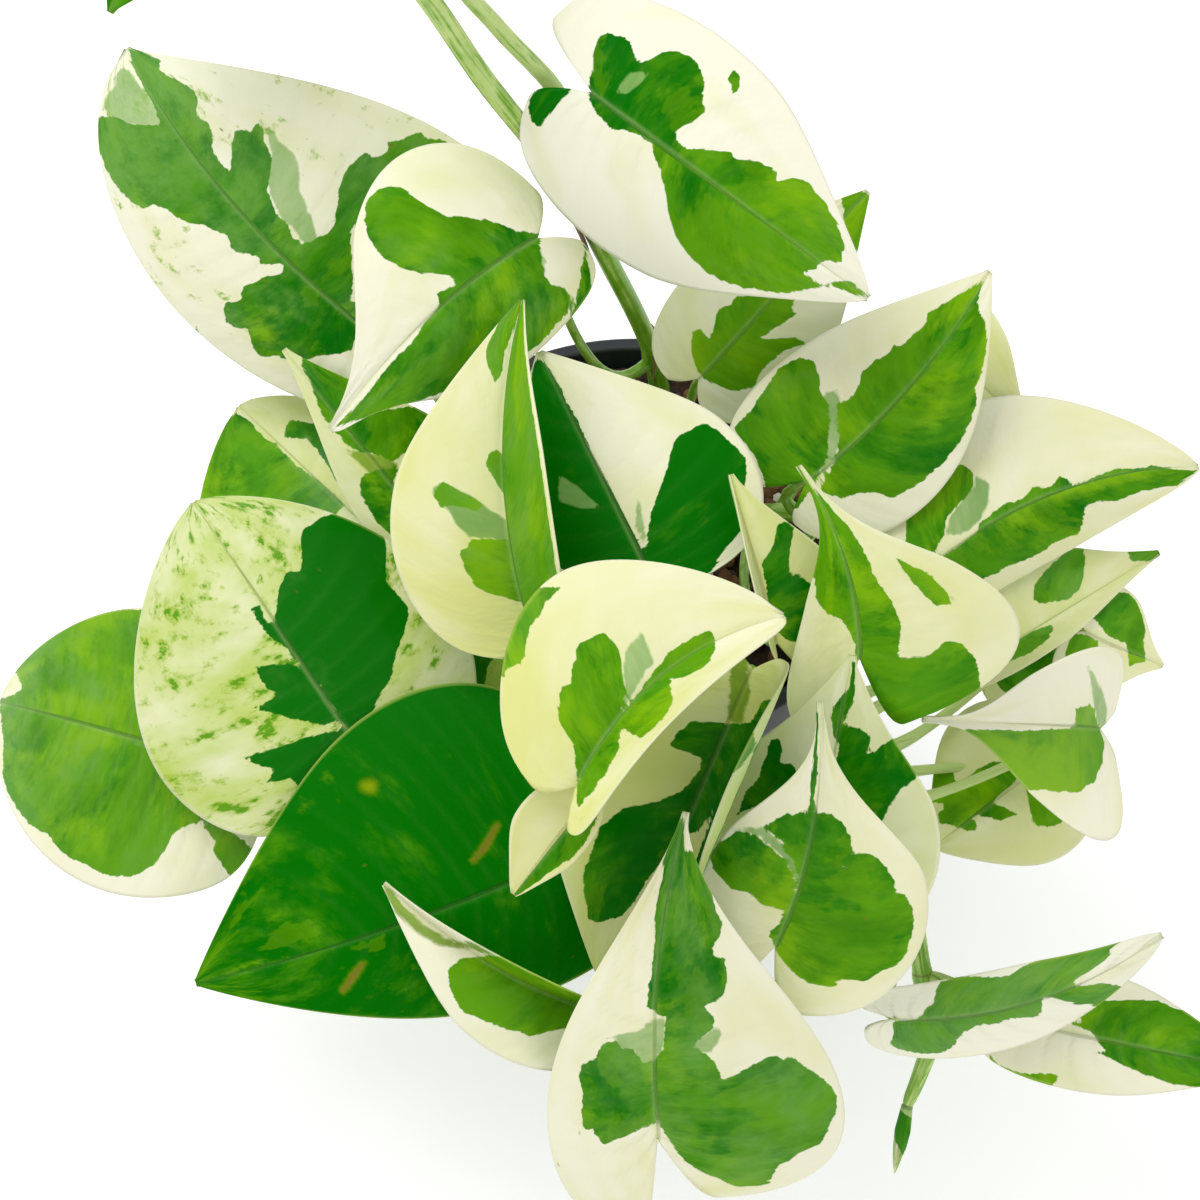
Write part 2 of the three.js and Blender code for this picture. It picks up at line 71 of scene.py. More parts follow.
def seen_at(points):
    """Picture place of points and millimetres a pixel there: the point less the camera, measured
    along the view's right, up and forward axes, and right and up divided by forward."""
    away = points - CAMERA_PLACE
    forward = away @ np.array([0, math.sin(CAMERA_TILT), -math.cos(CAMERA_TILT)])
    up = away @ np.array([0, math.cos(CAMERA_TILT), math.sin(CAMERA_TILT)])
    across = PICTURE / 2 + PIXELS_AT_ONE * away[..., 0] / forward
    down = PICTURE / 2 - PIXELS_AT_ONE * up / forward
    return np.stack([across, down], -1), 1000 * forward / PIXELS_AT_ONE


# ---- Pot and soil: sizes from the solids and from the real thing ----

POT_HIGH = np.array(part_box("pot")[1])
POT_HEIGHT = POT_HIGH[2]
POT_RIM = POT_HIGH[0]
POT_FOOT = 0.041
POT_WALL = 0.0016
POT_FLOOR = 0.002
POT_SIDES = 128
POT_CENTRE = 0.0004
LIP_HEIGHT = 0.009
LIP_OVERHANG = 0.0022
EDGE_ROUND = 0.0008
DRAIN_HOLES = 6
DRAIN_HOLE_RADIUS = 0.004
DRAIN_HOLE_SIDES = 32
DRAIN_RING = 0.028
DRILL_OVER = 0.002
UNDERSIDE_RINGS, FLOOR_RING = (0.02, 0.036), 0.03
OUTER_HEIGHTS, INNER_HEIGHTS, BELOW_LIP = (0.02, 0.05), (0.07, 0.04, 0.01), 0.004
SOIL_TOP = 0.0965
SOIL_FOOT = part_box("soil")[0][2]
SOIL_GAP = 0.0004
SOIL_RINGS = 110
SOIL_SIDES = 220
SOIL_DOWN = 8
SOIL_SHOULDER = 0.002
SOIL_CENTRE = 0.004
MOUND, MOUND_POWER = 0.0036, 1.5
LUMP_HEIGHT, LUMPS_A_METRE = 0.0016, 70
CRUMB_HEIGHT, CRUMBS_A_METRE = 0.0009, 330
SOIL_DIP, DIP_POWER = 0.0012, 8
CHIP_COUNT = 620
CHIP_REACH = 0.0475
CHIP_LIFT = 0.0006
CHIP_TILT = 0.5
CHIP_SIDES = 6
WHITE_SHARE = 0.11
WHITE_SIZES = (0.0009, 0.0019)
BARK_SIZES = (0.0009, 0.0034)
BARK_WIDE, BARK_TALL, BARK_SHADES = (0.35, 0.8), (0.25, 0.6), (0, 0.8)
WHITE_SHAPE = (0.75, 1.0)
LUMP_LOW, LUMP_HIGH, LUMP_TWIST, LUMP_POLE, LUMP_ROUGH = -0.45, 0.4, 0.5, 0.8, 0.22
CHIP_SEED = 7

# ---- Leaves and stems: sizes, and the numbers that shape them ----

GAP = 0.00035
STALK = 0.00115
STALK_SIDES = 14
STALK_STEPS = 30
STALK_REACH = 0.3
STALK_SLANT = 0.12
STALK_INSET = 0.0012
STALK_DEPTH = 0.0005
STALK_TAPER = 0.12
SHEATH_SWELL, SHEATH_SHARE = 0.00035, 0.12
FOOT_TONE, FOOT_SHARE = 0.75, 0.03
NEARBY, TINY = 1e-3, 1e-9
STEM_SIDES = 24
STEM_STEP = 0.0012
STEM_SAMPLES = 600
JOINT_SWELL, JOINT_REACH = 0.18, 0.0022
BETWEEN_JOINTS = 0.05
RING_PLACE, RING_WIDTH, RING_TONE = 0.0012, 0.0005, 0.8
END_REACH = 0.0012
SLIM_REACH = 0.009
FLUTES, FLUTE_DEPTH = 5, 0.025
SPAN_SAMPLES = 60
LEAF_STEP = 0.0009
LEAF_BODY = 0.00055
LEAF_EDGE = 0.00028
BODY_POWER = 6
LEAST_COLUMNS, LEAST_ROWS = 8, 24
MIDRIB_SOFT = 0.0009
MIDRIB_DEEP = 0.0008
MIDRIB_WIDTH = 0.0008
MIDRIB_FADE = 0.6
GROOVE_DEPTH = 0.00025
TIP_HALF_WIDTH = 0.0005
BULGE_POWER = 0.5
ROW_CROWDING = 0.15
MIDRIB_CROWDING = 1.6
TAIL_START = 0.5
TAIL_SHARE = 0.45
SINUS_SHARE = 0.3
SINUS_FADE = 8
LOBE_FADE = 4
LEAST_CURL = 0.1
VEIN_SPACING = 0.0052
VEIN_SWEEP, VEIN_BEND = 0.13, 1.4
VEIN_SWELL, SWELL_ROUND = 0.00005, 0.7
WAVE_HEIGHT, WAVE_LENGTH, WAVE_POWER = 0.0004, 0.0045, 4
SEED_SCALE = 997
MAP_SEED, MAP_HALVES = 0.01, 0.5

# ---- Marks on the blades: distances in millimetres, widths in metres ----

FAR = 9.0
PATCH_JOIN = 3.2
SECTOR_ROUND = 2.2
SECTOR_SWAY, SECTOR_SWAYS = 0.03, 7
LIMIT_SWAY, LIMIT_SWAYS, LIMIT_OPEN = 0.08, 9, 0.9
SCORCH_FADE = 1.2
GOLD_FADE = 2.6
TIP_SCORCH, TIP_START, TIP_FADE = 0.4, 0.985, 0.01
RIB_NARROW, RIB_TONE, RIB_REACH = 9, 0.55, 1.15
MIDRIB_LINE, MIDRIB_PALING = 0.00045, 0.6
RIM_LINE = 0.00035

# Stems: radius, route in millimetres, how pale it is at its foot and at its end, and how much it
# narrows towards its end (slim) and right at it (close).
STEMS = {
    "stem_main": dict(radius=0.0023, route=[
        (6, 41, 86), (6, 41, 93), (6, 41, 101), (3, 38, 124), (-7, 32, 160), (-12, 30, 176),
        (-20, 27, 196), (-31, 25, 218), (-41, 26, 238), (-57.5, 36, 258)], pale=(-0.1, 0.75)),
    "stem_left": dict(radius=0.0019, route=[
        (-24, 14, 86), (-24, 14, 93), (-24, 14, 99), (-31, 8, 120), (-42, 2, 136)]),
    "stem_front_left": dict(radius=0.0019, route=[
        (-26, -18, 86), (-26, -18, 93), (-26, -18, 99), (-37, -38, 107), (-50, -57, 108)]),
    "stem_front": dict(radius=0.0021, route=[
        (0, -22, 86), (0, -22, 93), (0, -22, 98), (-1, -44, 113), (0, -72, 113), (2, -100, 96),
        (5, -122, 72), (8, -130, 56)]),
    "stem_right": dict(radius=0.0019, route=[
        (24, 4, 86), (24, 4, 93), (24, 4, 99), (32, -6, 118), (46, -20, 130)]),
    "stem_trail": dict(radius=0.0021, route=[
        (30, -24, 86), (30, -24, 93), (30, -24, 98), (40, -40, 110), (52, -60, 106),
        (56, -75, 95), (60, -91, 80), (63, -102, 66), (64, -107, 61), (62, -112, 54),
        (59.6, -116.5, 48)], slim=0.22, close=0.15),
}
PLAIN_STEM = dict(pale=(0.25, 0.35), slim=0, close=0.7)

# Old sheaths on the main stem: the picture places of their ends, turn round the stem, width.
HUSKS = [((580, 190), (598, 262), 2.6, 0.0019), ((545, 150), (560, 178), 0.4, 0.0014),
         ((600, 262), (622, 300), 4.2, 0.0016)]
# Air roots: the stem, the share of its length where they start, their length.
ROOTS = [("stem_main", 0.2, 0.016), ("stem_main", 0.22, 0.012), ("stem_main", 0.19, 0.006),
         ("stem_main", 0.62, 0.0015), ("stem_left", 0.66, 0.006), ("stem_left", 0.82, 0.004),
         ("stem_front", 0.37, 0.008), ("stem_front", 0.5, 0.005), ("stem_front", 0.63, 0.006),
         ("stem_right", 0.5, 0.006), ("stem_right", 0.72, 0.004), ("stem_front_left", 0.42, 0.006),
         ("stem_front_left", 0.9, 0.004), ("stem_trail", 0.31, 0.006), ("stem_trail", 0.5, 0.005),
         ("stem_trail", 0.68, 0.002), ("stem_trail", 0.79, 0.005)]
HUSK_STEPS, HUSK_SIDES, HUSK_FLAT, HUSK_THICK = 26, 12, 0.18, 0.00012
HUSK_LIFT, HUSK_PEEL, HUSK_ROUND, HUSK_SPAN, HUSK_FIRST = 0.0003, 0.0012, 0.7, 0.96, 0.03
ROOT_STEPS, ROOT_SIDES, ROOT_THICK, ROOT_END = 18, 8, 0.00045, 0.00005
ROOT_START, ROOT_DIP, ROOT_TURN, ROOT_FALL, ROOT_BEND = 0.7, -0.15, 0.25, -0.9, 0.8
ROOT_SLOW, ROOT_TAPER, ROOT_SEED = 0.4, 0.7, 3

# Leaves: where the blade starts and ends, its turn about that line, its half widths, and the
# stem and share of its length that it grows from; pairs are for its left and right halves.
PLAIN_SHAPE = dict(lobe=(0.2, 0.2), belly=(1, 1), tail=0.2, fold=(0, 0), curl=(-20, -20),
                   arch=10, lean=0)
LEAVES = {
    "leaf_01": dict(base=(-0.06, 0.011, 0.162), tip=(-0.111, 0.067, 0.188), roll=-27,
        half=(0.031, 0.044), belly=(0.48, 1.12), tail=0, fold=(-12, 0), curl=(-40, -15), arch=12,
        lean=-0.004, on=("stem_left", 0.95)),
    "leaf_02": dict(base=(-0.057, -0.022, 0.131), tip=(-0.09, 0.018, 0.126), roll=-23,
        half=(0.036, 0.018), lobe=(0.1, 0.2), belly=(0.75, 0.75), tail=0, curl=(-15, -10), arch=15,
        on=("stem_left", 0.8)),
    "leaf_03": dict(base=(-0.042, -0.031, 0.139), tip=(-0.076, 0.009, 0.156), roll=-19,
        half=(0.011, 0.02), belly=(1.2, 1.2), fold=(-20, -8), curl=(0, -20), arch=15,
        on=("stem_left", 0.65)),
    "leaf_04": dict(base=(-0.021, 0.015, 0.184), tip=(-0.063, -0.023, 0.168), roll=-32,
        half=(0.02, 0.03), lobe=(0.12, 0.12), belly=(0.69, 1.37), tail=0.6, fold=(0, 5),
        curl=(-25, -30), arch=25, lean=0.003, on=("stem_main", 0.17)),
    "leaf_05": dict(base=(-0.059, -0.071, 0.126), tip=(-0.094, -0.023, 0.144), roll=-14,
        half=(0.038, 0.034), lobe=(0.15, 0.2), belly=(0.8, 0.8), tail=0, curl=(-25, -25), arch=20,
        on=("stem_front_left", 0.99)),
    "leaf_06": dict(base=(-0.025, -0.068, 0.114), tip=(-0.052, -0.025, 0.124), roll=-15,
        half=(0.018, 0.016), belly=(1.2, 1.2), curl=(0, 0), arch=4, on=("stem_front", 0.36)),
    "leaf_07": dict(base=(-0.091, -0.068, 0.114), tip=(-0.144, -0.037, 0.088), roll=-30,
        half=(0.033, 0.03), lobe=(0.22, 0.22), belly=(0.75, 0.75), tail=0, curl=(-20, -25), arch=50,
        on=("stem_front_left", 0.9)),
    "leaf_08": dict(base=(-0.013, -0.096, 0.123), tip=(-0.091, -0.113, 0.1), roll=-30,
        half=(0.025, 0.044), lobe=(0.2, 0.05), tail=0.1, fold=(-10, 0), curl=(-25, -20), arch=20,
        lean=-0.002, on=("stem_front", 0.48)),
    "leaf_09": dict(base=(-0.022, -0.06, 0.148), tip=(-0.024, -0.002, 0.184), roll=1,
        half=(0.024, 0.022), lobe=(0.06, 0.06), fold=(0, 62), curl=(-25, 10), arch=15, lean=-0.005,
        on=("stem_front_left", 0.4)),
    "leaf_10": dict(base=(-0.013, -0.101, 0.158), tip=(0.027, -0.07, 0.17), roll=24,
        half=(0.029, 0.015), lobe=(0.12, 0.12), belly=(0.65, 0.65), tail=0.1, fold=(0, 50),
        curl=(-25, 20), lean=-0.006, on=("stem_front", 0.24),
        via=[(-0.011, -0.048, 0.132), (-0.011, -0.064, 0.148), (-0.012, -0.083, 0.153)]),
    "leaf_11": dict(base=(0.022, -0.069, 0.15), tip=(-0.006, -0.121, 0.108), roll=-11,
        half=(0.02, 0.034), lobe=(0.05, 0.05), belly=(0.9, 0.9), fold=(30, 0), curl=(90, -20),
        arch=15, on=("stem_front", 0.42)),
    "leaf_12": dict(base=(0.003, -0.147, 0.1), tip=(0.008, -0.103, 0.152), roll=1,
        half=(0.022, 0.038), lobe=(0.36, 0.2), belly=(1.5, 1.5), tail=0.1, fold=(0, -5),
        curl=(-20, -25), arch=15, lean=-0.003, on=("stem_front", 0.9)),
    "leaf_13": dict(base=(0.026, -0.116, 0.122), tip=(0.034, -0.082, 0.158), roll=3,
        half=(0.019, 0.027), lobe=(0.2, 0.26), belly=(1.15, 1.15), tail=0.85, fold=(10, 5),
        curl=(-20, -25), arch=1, lean=0.003, on=("stem_front", 0.62)),
    "leaf_14": dict(base=(0.043, -0.067, 0.151), tip=(0.031, -0.036, 0.173), roll=-16,
        half=(0.016, 0.033), lobe=(0.35, 0.4), belly=(1.9, 1.9), tail=0.5, fold=(-20, 0), arch=15,
        lean=0.003, on=("stem_right", 0.86)),
    "leaf_15": dict(base=(0.034, -0.098, 0.114), tip=(0.041, -0.07, 0.156), roll=2,
        half=(0.023, 0.025), belly=(1.1, 1.1), tail=0.3, on=("stem_trail", 0.3)),
    "leaf_16": dict(base=(0.035, -0.022, 0.15), tip=(0.073, 0.013, 0.176), roll=23,
        half=(0.023, 0.02), lobe=(0.14, 0.15), tail=0.1, arch=12, lean=0.003,
        on=("stem_right", 0.72)),
    "leaf_17": dict(base=(0.064, 0.018, 0.151), tip=(0.084, -0.005, 0.145), roll=33,
        half=(0.012, 0.02), belly=(1.2, 1.2), curl=(-10, -20), on=("stem_right", 0.6)),
    "leaf_18": dict(base=(0.058, -0.037, 0.137), tip=(0.121, -0.009, 0.138), roll=30,
        half=(0.025, 0.017), lobe=(0.15, 0.15), belly=(0.8, 0.8), tail=0.1, fold=(0, -20),
        curl=(-20, -30), arch=20, lean=-0.006, on=("stem_right", 0.98)),
    "leaf_19": dict(base=(-0.01, 0.024, 0.216), tip=(0.045, -0.008, 0.191), roll=37,
        half=(0.024, 0.026), lobe=(0.22, 0.15), belly=(0.85, 0.85), tail=0.25, fold=(0, -10),
        curl=(-20, -30), arch=20, on=("stem_main", 0.5)),
    "leaf_20": dict(base=(0.013, 0.009, 0.146), tip=(0.049, 0.036, 0.176), roll=30,
        half=(0.017, 0.018), lobe=(0.08, 0.08), on=("stem_main", 0.1)),
    "leaf_21": dict(base=(0.002, -0.047, 0.15), tip=(-0.021, -0.002, 0.168), roll=-16,
        half=(0.026, 0.03), lobe=(0.1, 0.08), on=("stem_right", 0.38)),
    "leaf_22": dict(base=(0.027, -0.059, 0.145), tip=(0.018, -0.032, 0.165), roll=-12,
        half=(0.008, 0.017), lobe=(0.1, 0.2), belly=(1.2, 1.2), fold=(80, 0), curl=(0, -10),
        on=("stem_right", 0.5)),
    "leaf_23": dict(base=(0.075, -0.045, 0.119), tip=(0.114, -0.02, 0.122), roll=24,
        half=(0.016, 0.007), lobe=(0.1, 0.2), tail=0.4, fold=(10, -20), on=("stem_trail", 0.36)),
    "leaf_24": dict(base=(0.097, -0.036, 0.115), tip=(0.115, -0.04, 0.107), roll=39,
        half=(0.012, 0.014), tail=0.5, on=("stem_trail", 0.42)),
    "leaf_25": dict(base=(0.097, -0.063, 0.118), tip=(0.057, -0.072, 0.136), roll=-36,
        half=(0.023, 0.017), lobe=(0.06, 0.06), belly=(1.9, 1.9), tail=0.75, fold=(20, 20),
        curl=(0, 0), on=("stem_trail", 0.5)),
    "leaf_26": dict(base=(0.088, -0.061, 0.1), tip=(0.063, -0.078, 0.094), roll=-20,
        half=(0.018, 0.02), belly=(0.9, 0.9), tail=0.1, on=("stem_trail", 0.46)),
    "leaf_27": dict(base=(-0.008, -0.122, 0.105), tip=(-0.051, -0.104, 0.126), roll=-24,
        half=(0.015, 0.014), lobe=(0.1, 0.1), fold=(10, 80), curl=(0, 0), lean=-0.003,
        on=("stem_front", 0.7)),
    "leaf_28": dict(base=(0.052, -0.117, 0.092), tip=(0.109, -0.1, 0.096), roll=23,
        half=(0.008, 0.013), lobe=(0.1, 0.1), belly=(0.7, 0.7), fold=(10, -40), curl=(-10, -20),
        arch=-25, lean=0.005, on=("stem_trail", 0.68)),
    "leaf_29": dict(base=(0.085, -0.11, 0.074), tip=(0.133, -0.118, 0.068), roll=27,
        half=(0.014, 0.012), lobe=(0.25, 0.25), belly=(0.9, 0.9), on=("stem_trail", 0.78)),
    "leaf_30": dict(base=(0.077, -0.039, 0.104), tip=(0.103, -0.026, 0.104), roll=27,
        half=(0.012, 0.012), lobe=(0.1, 0.1), belly=(0.9, 0.9), on=("stem_trail", 0.33)),
    "leaf_31": dict(base=(-0.011, -0.098, 0.146), tip=(-0.025, -0.112, 0.136), roll=-20,
        half=(0.005, 0.01), lobe=(0.1, 0.1), belly=(0.8, 0.8), tail=0.3, fold=(0, 20),
        curl=(-10, 0), arch=15, on=("stem_front", 0.3),
        via=[(-0.015, -0.05, 0.129), (-0.017, -0.072, 0.146), (-0.018, -0.088, 0.147)]),
    "leaf_32": dict(base=(-0.086, 0.074, 0.24), tip=(-0.1066, 0.0418, 0.2207), roll=-15,
        half=(0.02, 0.02), belly=(1.1, 1.1), arch=20, on=("stem_main", 0.97)),
    "leaf_33": dict(base=(-0.046, 0.046, 0.255), tip=(-0.012, 0.074, 0.241), roll=34,
        half=(0.02, 0.02), belly=(1.1, 1.1), arch=20, on=("stem_main", 0.61),
        via=[(-0.016, 0.034, 0.202), (-0.028, 0.031, 0.226), (-0.035, 0.03, 0.238),
             (-0.042, 0.036, 0.25)]),
}

# ---- Markings: patches by leaf, as outlines in picture places or as bands between side veins ----

LEFT, RIGHT, BOTH = 0, 1, 2


def patch(kind, *outline, side=BOTH):
    """A patch of that kind on one or both halves of a blade, and its outline: picture places,
    each across and then down."""
    return kind, side, np.reshape(outline, (-1, 2))


PATCHES = {
    "leaf_01": [
        patch("green", 129, 47, 143, 52, 161, 60, 159, 68, 168, 77, 184, 83, 194, 91, 199, 99,
            195, 117, 208, 121, 212, 133, 212, 151, 222, 163, 231, 173, 231, 143, 235, 131,
            246, 130, 251, 135, 255, 125, 259, 123, 263, 128, 264, 140, 272, 156, 270, 168,
            267, 189, 272, 204, 279, 219, 288, 224, 293, 237, 306, 253, 329, 278, 344, 296,
            362, 316, 350, 350, 292, 362, 276, 355, 261, 356, 250, 344, 247, 330, 233, 328,
            224, 321, 223, 310, 227, 304, 241, 300, 244, 288, 268, 277, 283, 272, 283, 264,
            260, 264, 258, 256, 231, 251, 230, 244, 224, 235, 212, 231, 202, 224, 188, 222,
            176, 218, 166, 209, 153, 203, 143, 208, 133, 204, 117, 190, 107, 173, 99, 151, 97, 128,
            98, 117, 110, 116, 128, 124, 163, 126, 158, 116, 156, 107, 143, 87, 135, 71, 131, 59),
        patch("green", 339, 189, 349, 166, 366, 152, 371, 159, 388, 153, 388, 142, 402, 139,
            420, 131, 429, 139, 444, 139, 454, 151, 462, 161, 430, 190, 380, 200, 350, 230,
            345, 290, 330, 260, 319, 255, 334, 224),
        patch("green", 196, 328, 204, 342, 212, 357, 222, 378, 240, 402, 205, 390, side=LEFT),
        patch("green", 300, 246, 318, 236, 345, 236, 350, 292, 325, 275),
        patch("pale", 115, 74, 122, 69, 130, 70, 139, 84, 153, 105, 163, 126, 138, 126, 125, 122,
            110, 116, 103, 110, 106, 97, 115, 87),
        patch("pale", 267, 130, 273, 128, 281, 143, 293, 154, 298, 166, 301, 191, 311, 214,
            318, 237, 316, 253, 304, 245, 291, 227, 281, 217, 270, 194, 268, 173, 272, 156)],
    "leaf_02": [
        patch("green", 196, 520, 204, 460, 218, 429, 235, 412, 251, 423, 264, 438, 279, 447,
            294, 463, 319, 481, 345, 505, 300, 560, 230, 560),
        patch("green", 282, 438, 307, 438, 325, 460, 337, 481, 345, 470, 330, 425, 290, 420)],
    "leaf_03": [
        patch("green", 304, 354, 322, 345, 352, 336, 356, 385, 334, 420, 326, 424, 316, 402,
            310, 380, 300, 364),
        patch("green", 334, 432, 375, 410, 430, 405, 430, 440, 392, 460, 350, 448),
        patch("green", 360, 480, 377, 470, 400, 468, 389, 493, 375, 500),
        patch("lime", 346, 450, 389, 455, 400, 470, 372, 476)],
    "leaf_04": [
        patch("green", 364, 206, 370, 196, 380, 188, 397, 186, 410, 193, 422, 203, 438, 210,
            445, 216, 466, 217, 479, 220, 504, 224, 517, 231, 537, 236, 522, 245, 494, 263,
            466, 282, 463, 283, 447, 274, 422, 272, 402, 267, 384, 258, 374, 247, 366, 236,
            364, 220),
        patch("green", 537, 238, 542, 263, 545, 276, 551, 284, 565, 287, 570, 296, 567, 314,
            555, 329, 540, 343, 520, 358, 480, 378, 430, 398, 380, 412, 345, 424, 333, 428,
            361, 400, 387, 367, 402, 352, 415, 339, 422, 327, 439, 306, 438, 293, 450, 290,
            463, 283, 494, 263, 522, 245),
        patch("green", 585, 242, 592, 291, 572, 325, 579, 290),
        patch("pale", 517, 252, 535, 240, 545, 262, 545, 278, 528, 268)],
    "leaf_05": [
        patch("green", 302, 530, 319, 518, 343, 509, 362, 518, 386, 536, 386, 576, 395, 591,
            409, 610, 404, 634, 395, 659, 395, 674, 377, 698, 372, 711, 374, 723, 360, 737,
            340, 711, 313, 677, 294, 655, 274, 637, 276, 619, 279, 594, 285, 573, 300, 570,
            302, 548),
        patch("green", 248, 608, 261, 603, 264, 616, 274, 634, 262, 628),
        patch("green", 254, 668, 288, 664, 309, 676, 321, 698, 294, 697, 268, 688),
        patch("green", 252, 708, 276, 701, 294, 697, 325, 704, 342, 720, 325, 724, 300, 721,
            270, 714),
        patch("green", 280, 747, 313, 735, 346, 732, 357, 738, 334, 763, 300, 789, 291, 778,
            267, 783, 276, 769, 239, 760)],
    "leaf_07": [
        patch("green", 207, 828, 214, 815, 222, 820, 236, 837, 259, 854, 247, 865, 231, 877,
            219, 859, 213, 851, 216, 842),
        patch("green", 0, 700, 14, 694, 22, 688, 18, 672, 4, 668, 8, 648, 22, 632, 44, 620, 66, 612,
            100, 606, 150, 612, 190, 700, 210, 780, 214, 808, 196, 822, 172, 832, 164, 850,
            152, 864, 110, 869, 76, 860, 58, 850, 50, 836, 34, 830, 14, 806, 4, 780, 2, 740)],
    "leaf_08": [
        patch("scorch", 496, 825, 499, 824, 488, 846, 474, 862, 472, 861, 485, 843),
        patch("scorch", 361, 964, 364, 963, 355, 978, 344, 992, 341, 991, 351, 975),
        patch("gold", 366, 786, 371, 785, 370, 788)],
    "leaf_09": [
        patch("green", 515, 300, 523, 298, 518, 316, 507, 346, 501, 377, 496, 381, 490, 369,
            486, 351, 490, 339, 502, 316, side=LEFT),
        patch("green", 441, 481, 457, 487, 485, 505, 477, 512, 464, 507, 454, 506, 441, 507,
            433, 496, side=LEFT),
        patch("green", 487, 455, 496, 450, 504, 456, 508, 474, 513, 510, 497, 484, 485, 466,
            side=LEFT),
        patch("green", 469, 538, 492, 539, 508, 540, 518, 548, 521, 568, 525, 586, 532, 603,
            515, 601, 487, 593, 474, 586, 464, 568, 458, 555, 462, 550, 468, 547, side=LEFT),
        patch("pale", 441, 482, 457, 487, 477, 499, 490, 510, 510, 522, 519, 535, 521, 548,
            492, 538, 469, 538, 457, 525, 449, 510, 435, 499, 432, 489, side=LEFT)],
    "leaf_10": [
        patch("green", 531, 589, 547, 587, 560, 588, 547, 600, 542, 611, 531, 627, 528, 640,
            523, 662, 515, 666, 507, 667, 507, 677, 496, 675, 494, 654, 502, 632, 513, 608),
        patch("green", 574, 667, 580, 670, 587, 689, 598, 710, 609, 721, 611, 723, 598, 745,
            584, 766, 580, 774, 578, 764, 574, 745, 563, 726, 559, 710, 560, 689, 566, 685,
            570, 685, 572, 672),
        patch("green", 601, 631, 611, 638, 619, 648, 622, 667, 625, 689, 622, 705, 614, 721,
            609, 721, 598, 705, 587, 686, 579, 667, 576, 648, 587, 638, 595, 636),
        patch("pale", 641, 634, 651, 651, 654, 663, 646, 672, 630, 699, 622, 713, 619, 705,
            625, 689, 623, 667, 627, 648),
        patch("green", 710, 631, 715, 638, 714, 654, 706, 667, 694, 675, 678, 678, 668, 678,
            672, 694, 672, 706, 665, 718, 651, 731, 641, 738, 630, 731, 625, 727, 621, 726,
            618, 731, 618, 748, 609, 769, 598, 785, 587, 796, 579, 806, 576, 796, 579, 782,
            587, 769, 601, 745, 614, 726, 630, 705, 651, 675, 668, 654, 689, 640)],
    "leaf_11": [
        patch("green", 692, 719, 713, 722, 737, 726, 743, 731, 729, 745, 716, 754, 702, 757,
            671, 745, 678, 731),
        patch("green", 627, 806, 641, 804, 654, 803, 678, 793, 686, 789, 702, 777, 716, 764,
            737, 748, 741, 753, 729, 772, 718, 785, 725, 788, 710, 817, 697, 833, 684, 834,
            668, 851, 641, 889, 622, 916, 598, 922, 588, 919, 587, 906, 583, 889, 584, 871,
            593, 852, 601, 828, 614, 814),
        patch("lime", 731, 645, 747, 650, 750, 690, 742, 726, 728, 720),
        patch("green", 692, 788, 706, 762, 728, 738, 750, 722, 752, 746, 726, 776, 702, 800)],
    "leaf_12": [
        patch("green", 683, 815, 677, 824, 671, 840, 663, 862, 663, 880, 658, 894, 655, 913,
            655, 934, 653, 950, 651, 974, 647, 988, 648, 1006, 658, 1014, 666, 1016, 664, 1035,
            662, 1060, 657, 1092, 662, 1090, 671, 1060, 680, 1054, 690, 1044, 701, 1038, 711, 1030,
            715, 1020, 703, 1006, 714, 1001, 725, 993, 729, 974, 725, 958, 714, 958, 711, 950,
            717, 937, 722, 923, 714, 904, 711, 883, 706, 870, 695, 851, 686, 851, 684, 830),
        patch("green", 664, 1062, 690, 1049, 706, 1054, 717, 1065, 722, 1080, 738, 1073, 752, 1065,
            768, 1056, 778, 1056, 782, 1061, 789, 1057, 805, 1068, 821, 1076, 835, 1089, 837, 1105,
            832, 1121, 821, 1143, 808, 1151, 797, 1156, 781, 1164, 774, 1170, 773, 1178, 768, 1183,
            738, 1187, 717, 1180, 695, 1170, 679, 1154, 666, 1135, 660, 1116, 660, 1089),
        patch("green", 604, 1042, 615, 1041, 623, 1049, 634, 1050, 639, 1063, 647, 1065, 657, 1064,
            655, 1089, 654, 1121, 639, 1129, 623, 1139, 604, 1144, 596, 1135, 594, 1128, 586, 1129,
            582, 1116, 582, 1095, 580, 1073, 583, 1063, 594, 1059, 599, 1049),
        patch("pale", 607, 1038, 634, 1033, 653, 1020, 665, 1017, 665, 1041, 658, 1064, 647, 1068,
            639, 1060, 634, 1050, 623, 1049, 615, 1041),
        patch("pale", 679, 1053, 701, 1038, 711, 1030, 722, 1028, 718, 1041, 711, 1053, 701, 1052,
            690, 1049)],
    "leaf_13": [
        patch("green", 817, 711, 820, 711, 816, 770, 812, 830, 809, 830, 813, 770),
        patch("green", 763, 827, 773, 822, 783, 816, 800, 814, 806, 819, 809, 827, 808, 839,
            803, 852, 800, 861, 793, 854, 781, 839, 773, 832),
        patch("green", 813, 827, 823, 826, 833, 827, 840, 834, 843, 842, 841, 854, 833, 864,
            823, 867, 813, 864, 803, 861, 803, 852, 808, 839),
        patch("green", 711, 854, 719, 843, 738, 832, 754, 835, 768, 843, 781, 856, 792, 872,
            793, 888, 789, 907, 778, 908, 762, 904, 749, 894, 733, 888, 722, 878, 714, 867),
        patch("green", 851, 856, 859, 851, 875, 854, 886, 867, 894, 883, 891, 894, 867, 902,
            843, 899, 832, 891, 835, 878, 851, 875),
        patch("green", 891, 894, 904, 894, 912, 907, 914, 926, 907, 950, 896, 963, 880, 971,
            867, 982, 843, 979, 821, 974, 797, 961, 781, 945, 776, 934, 797, 929, 824, 929,
            840, 907, 867, 903),
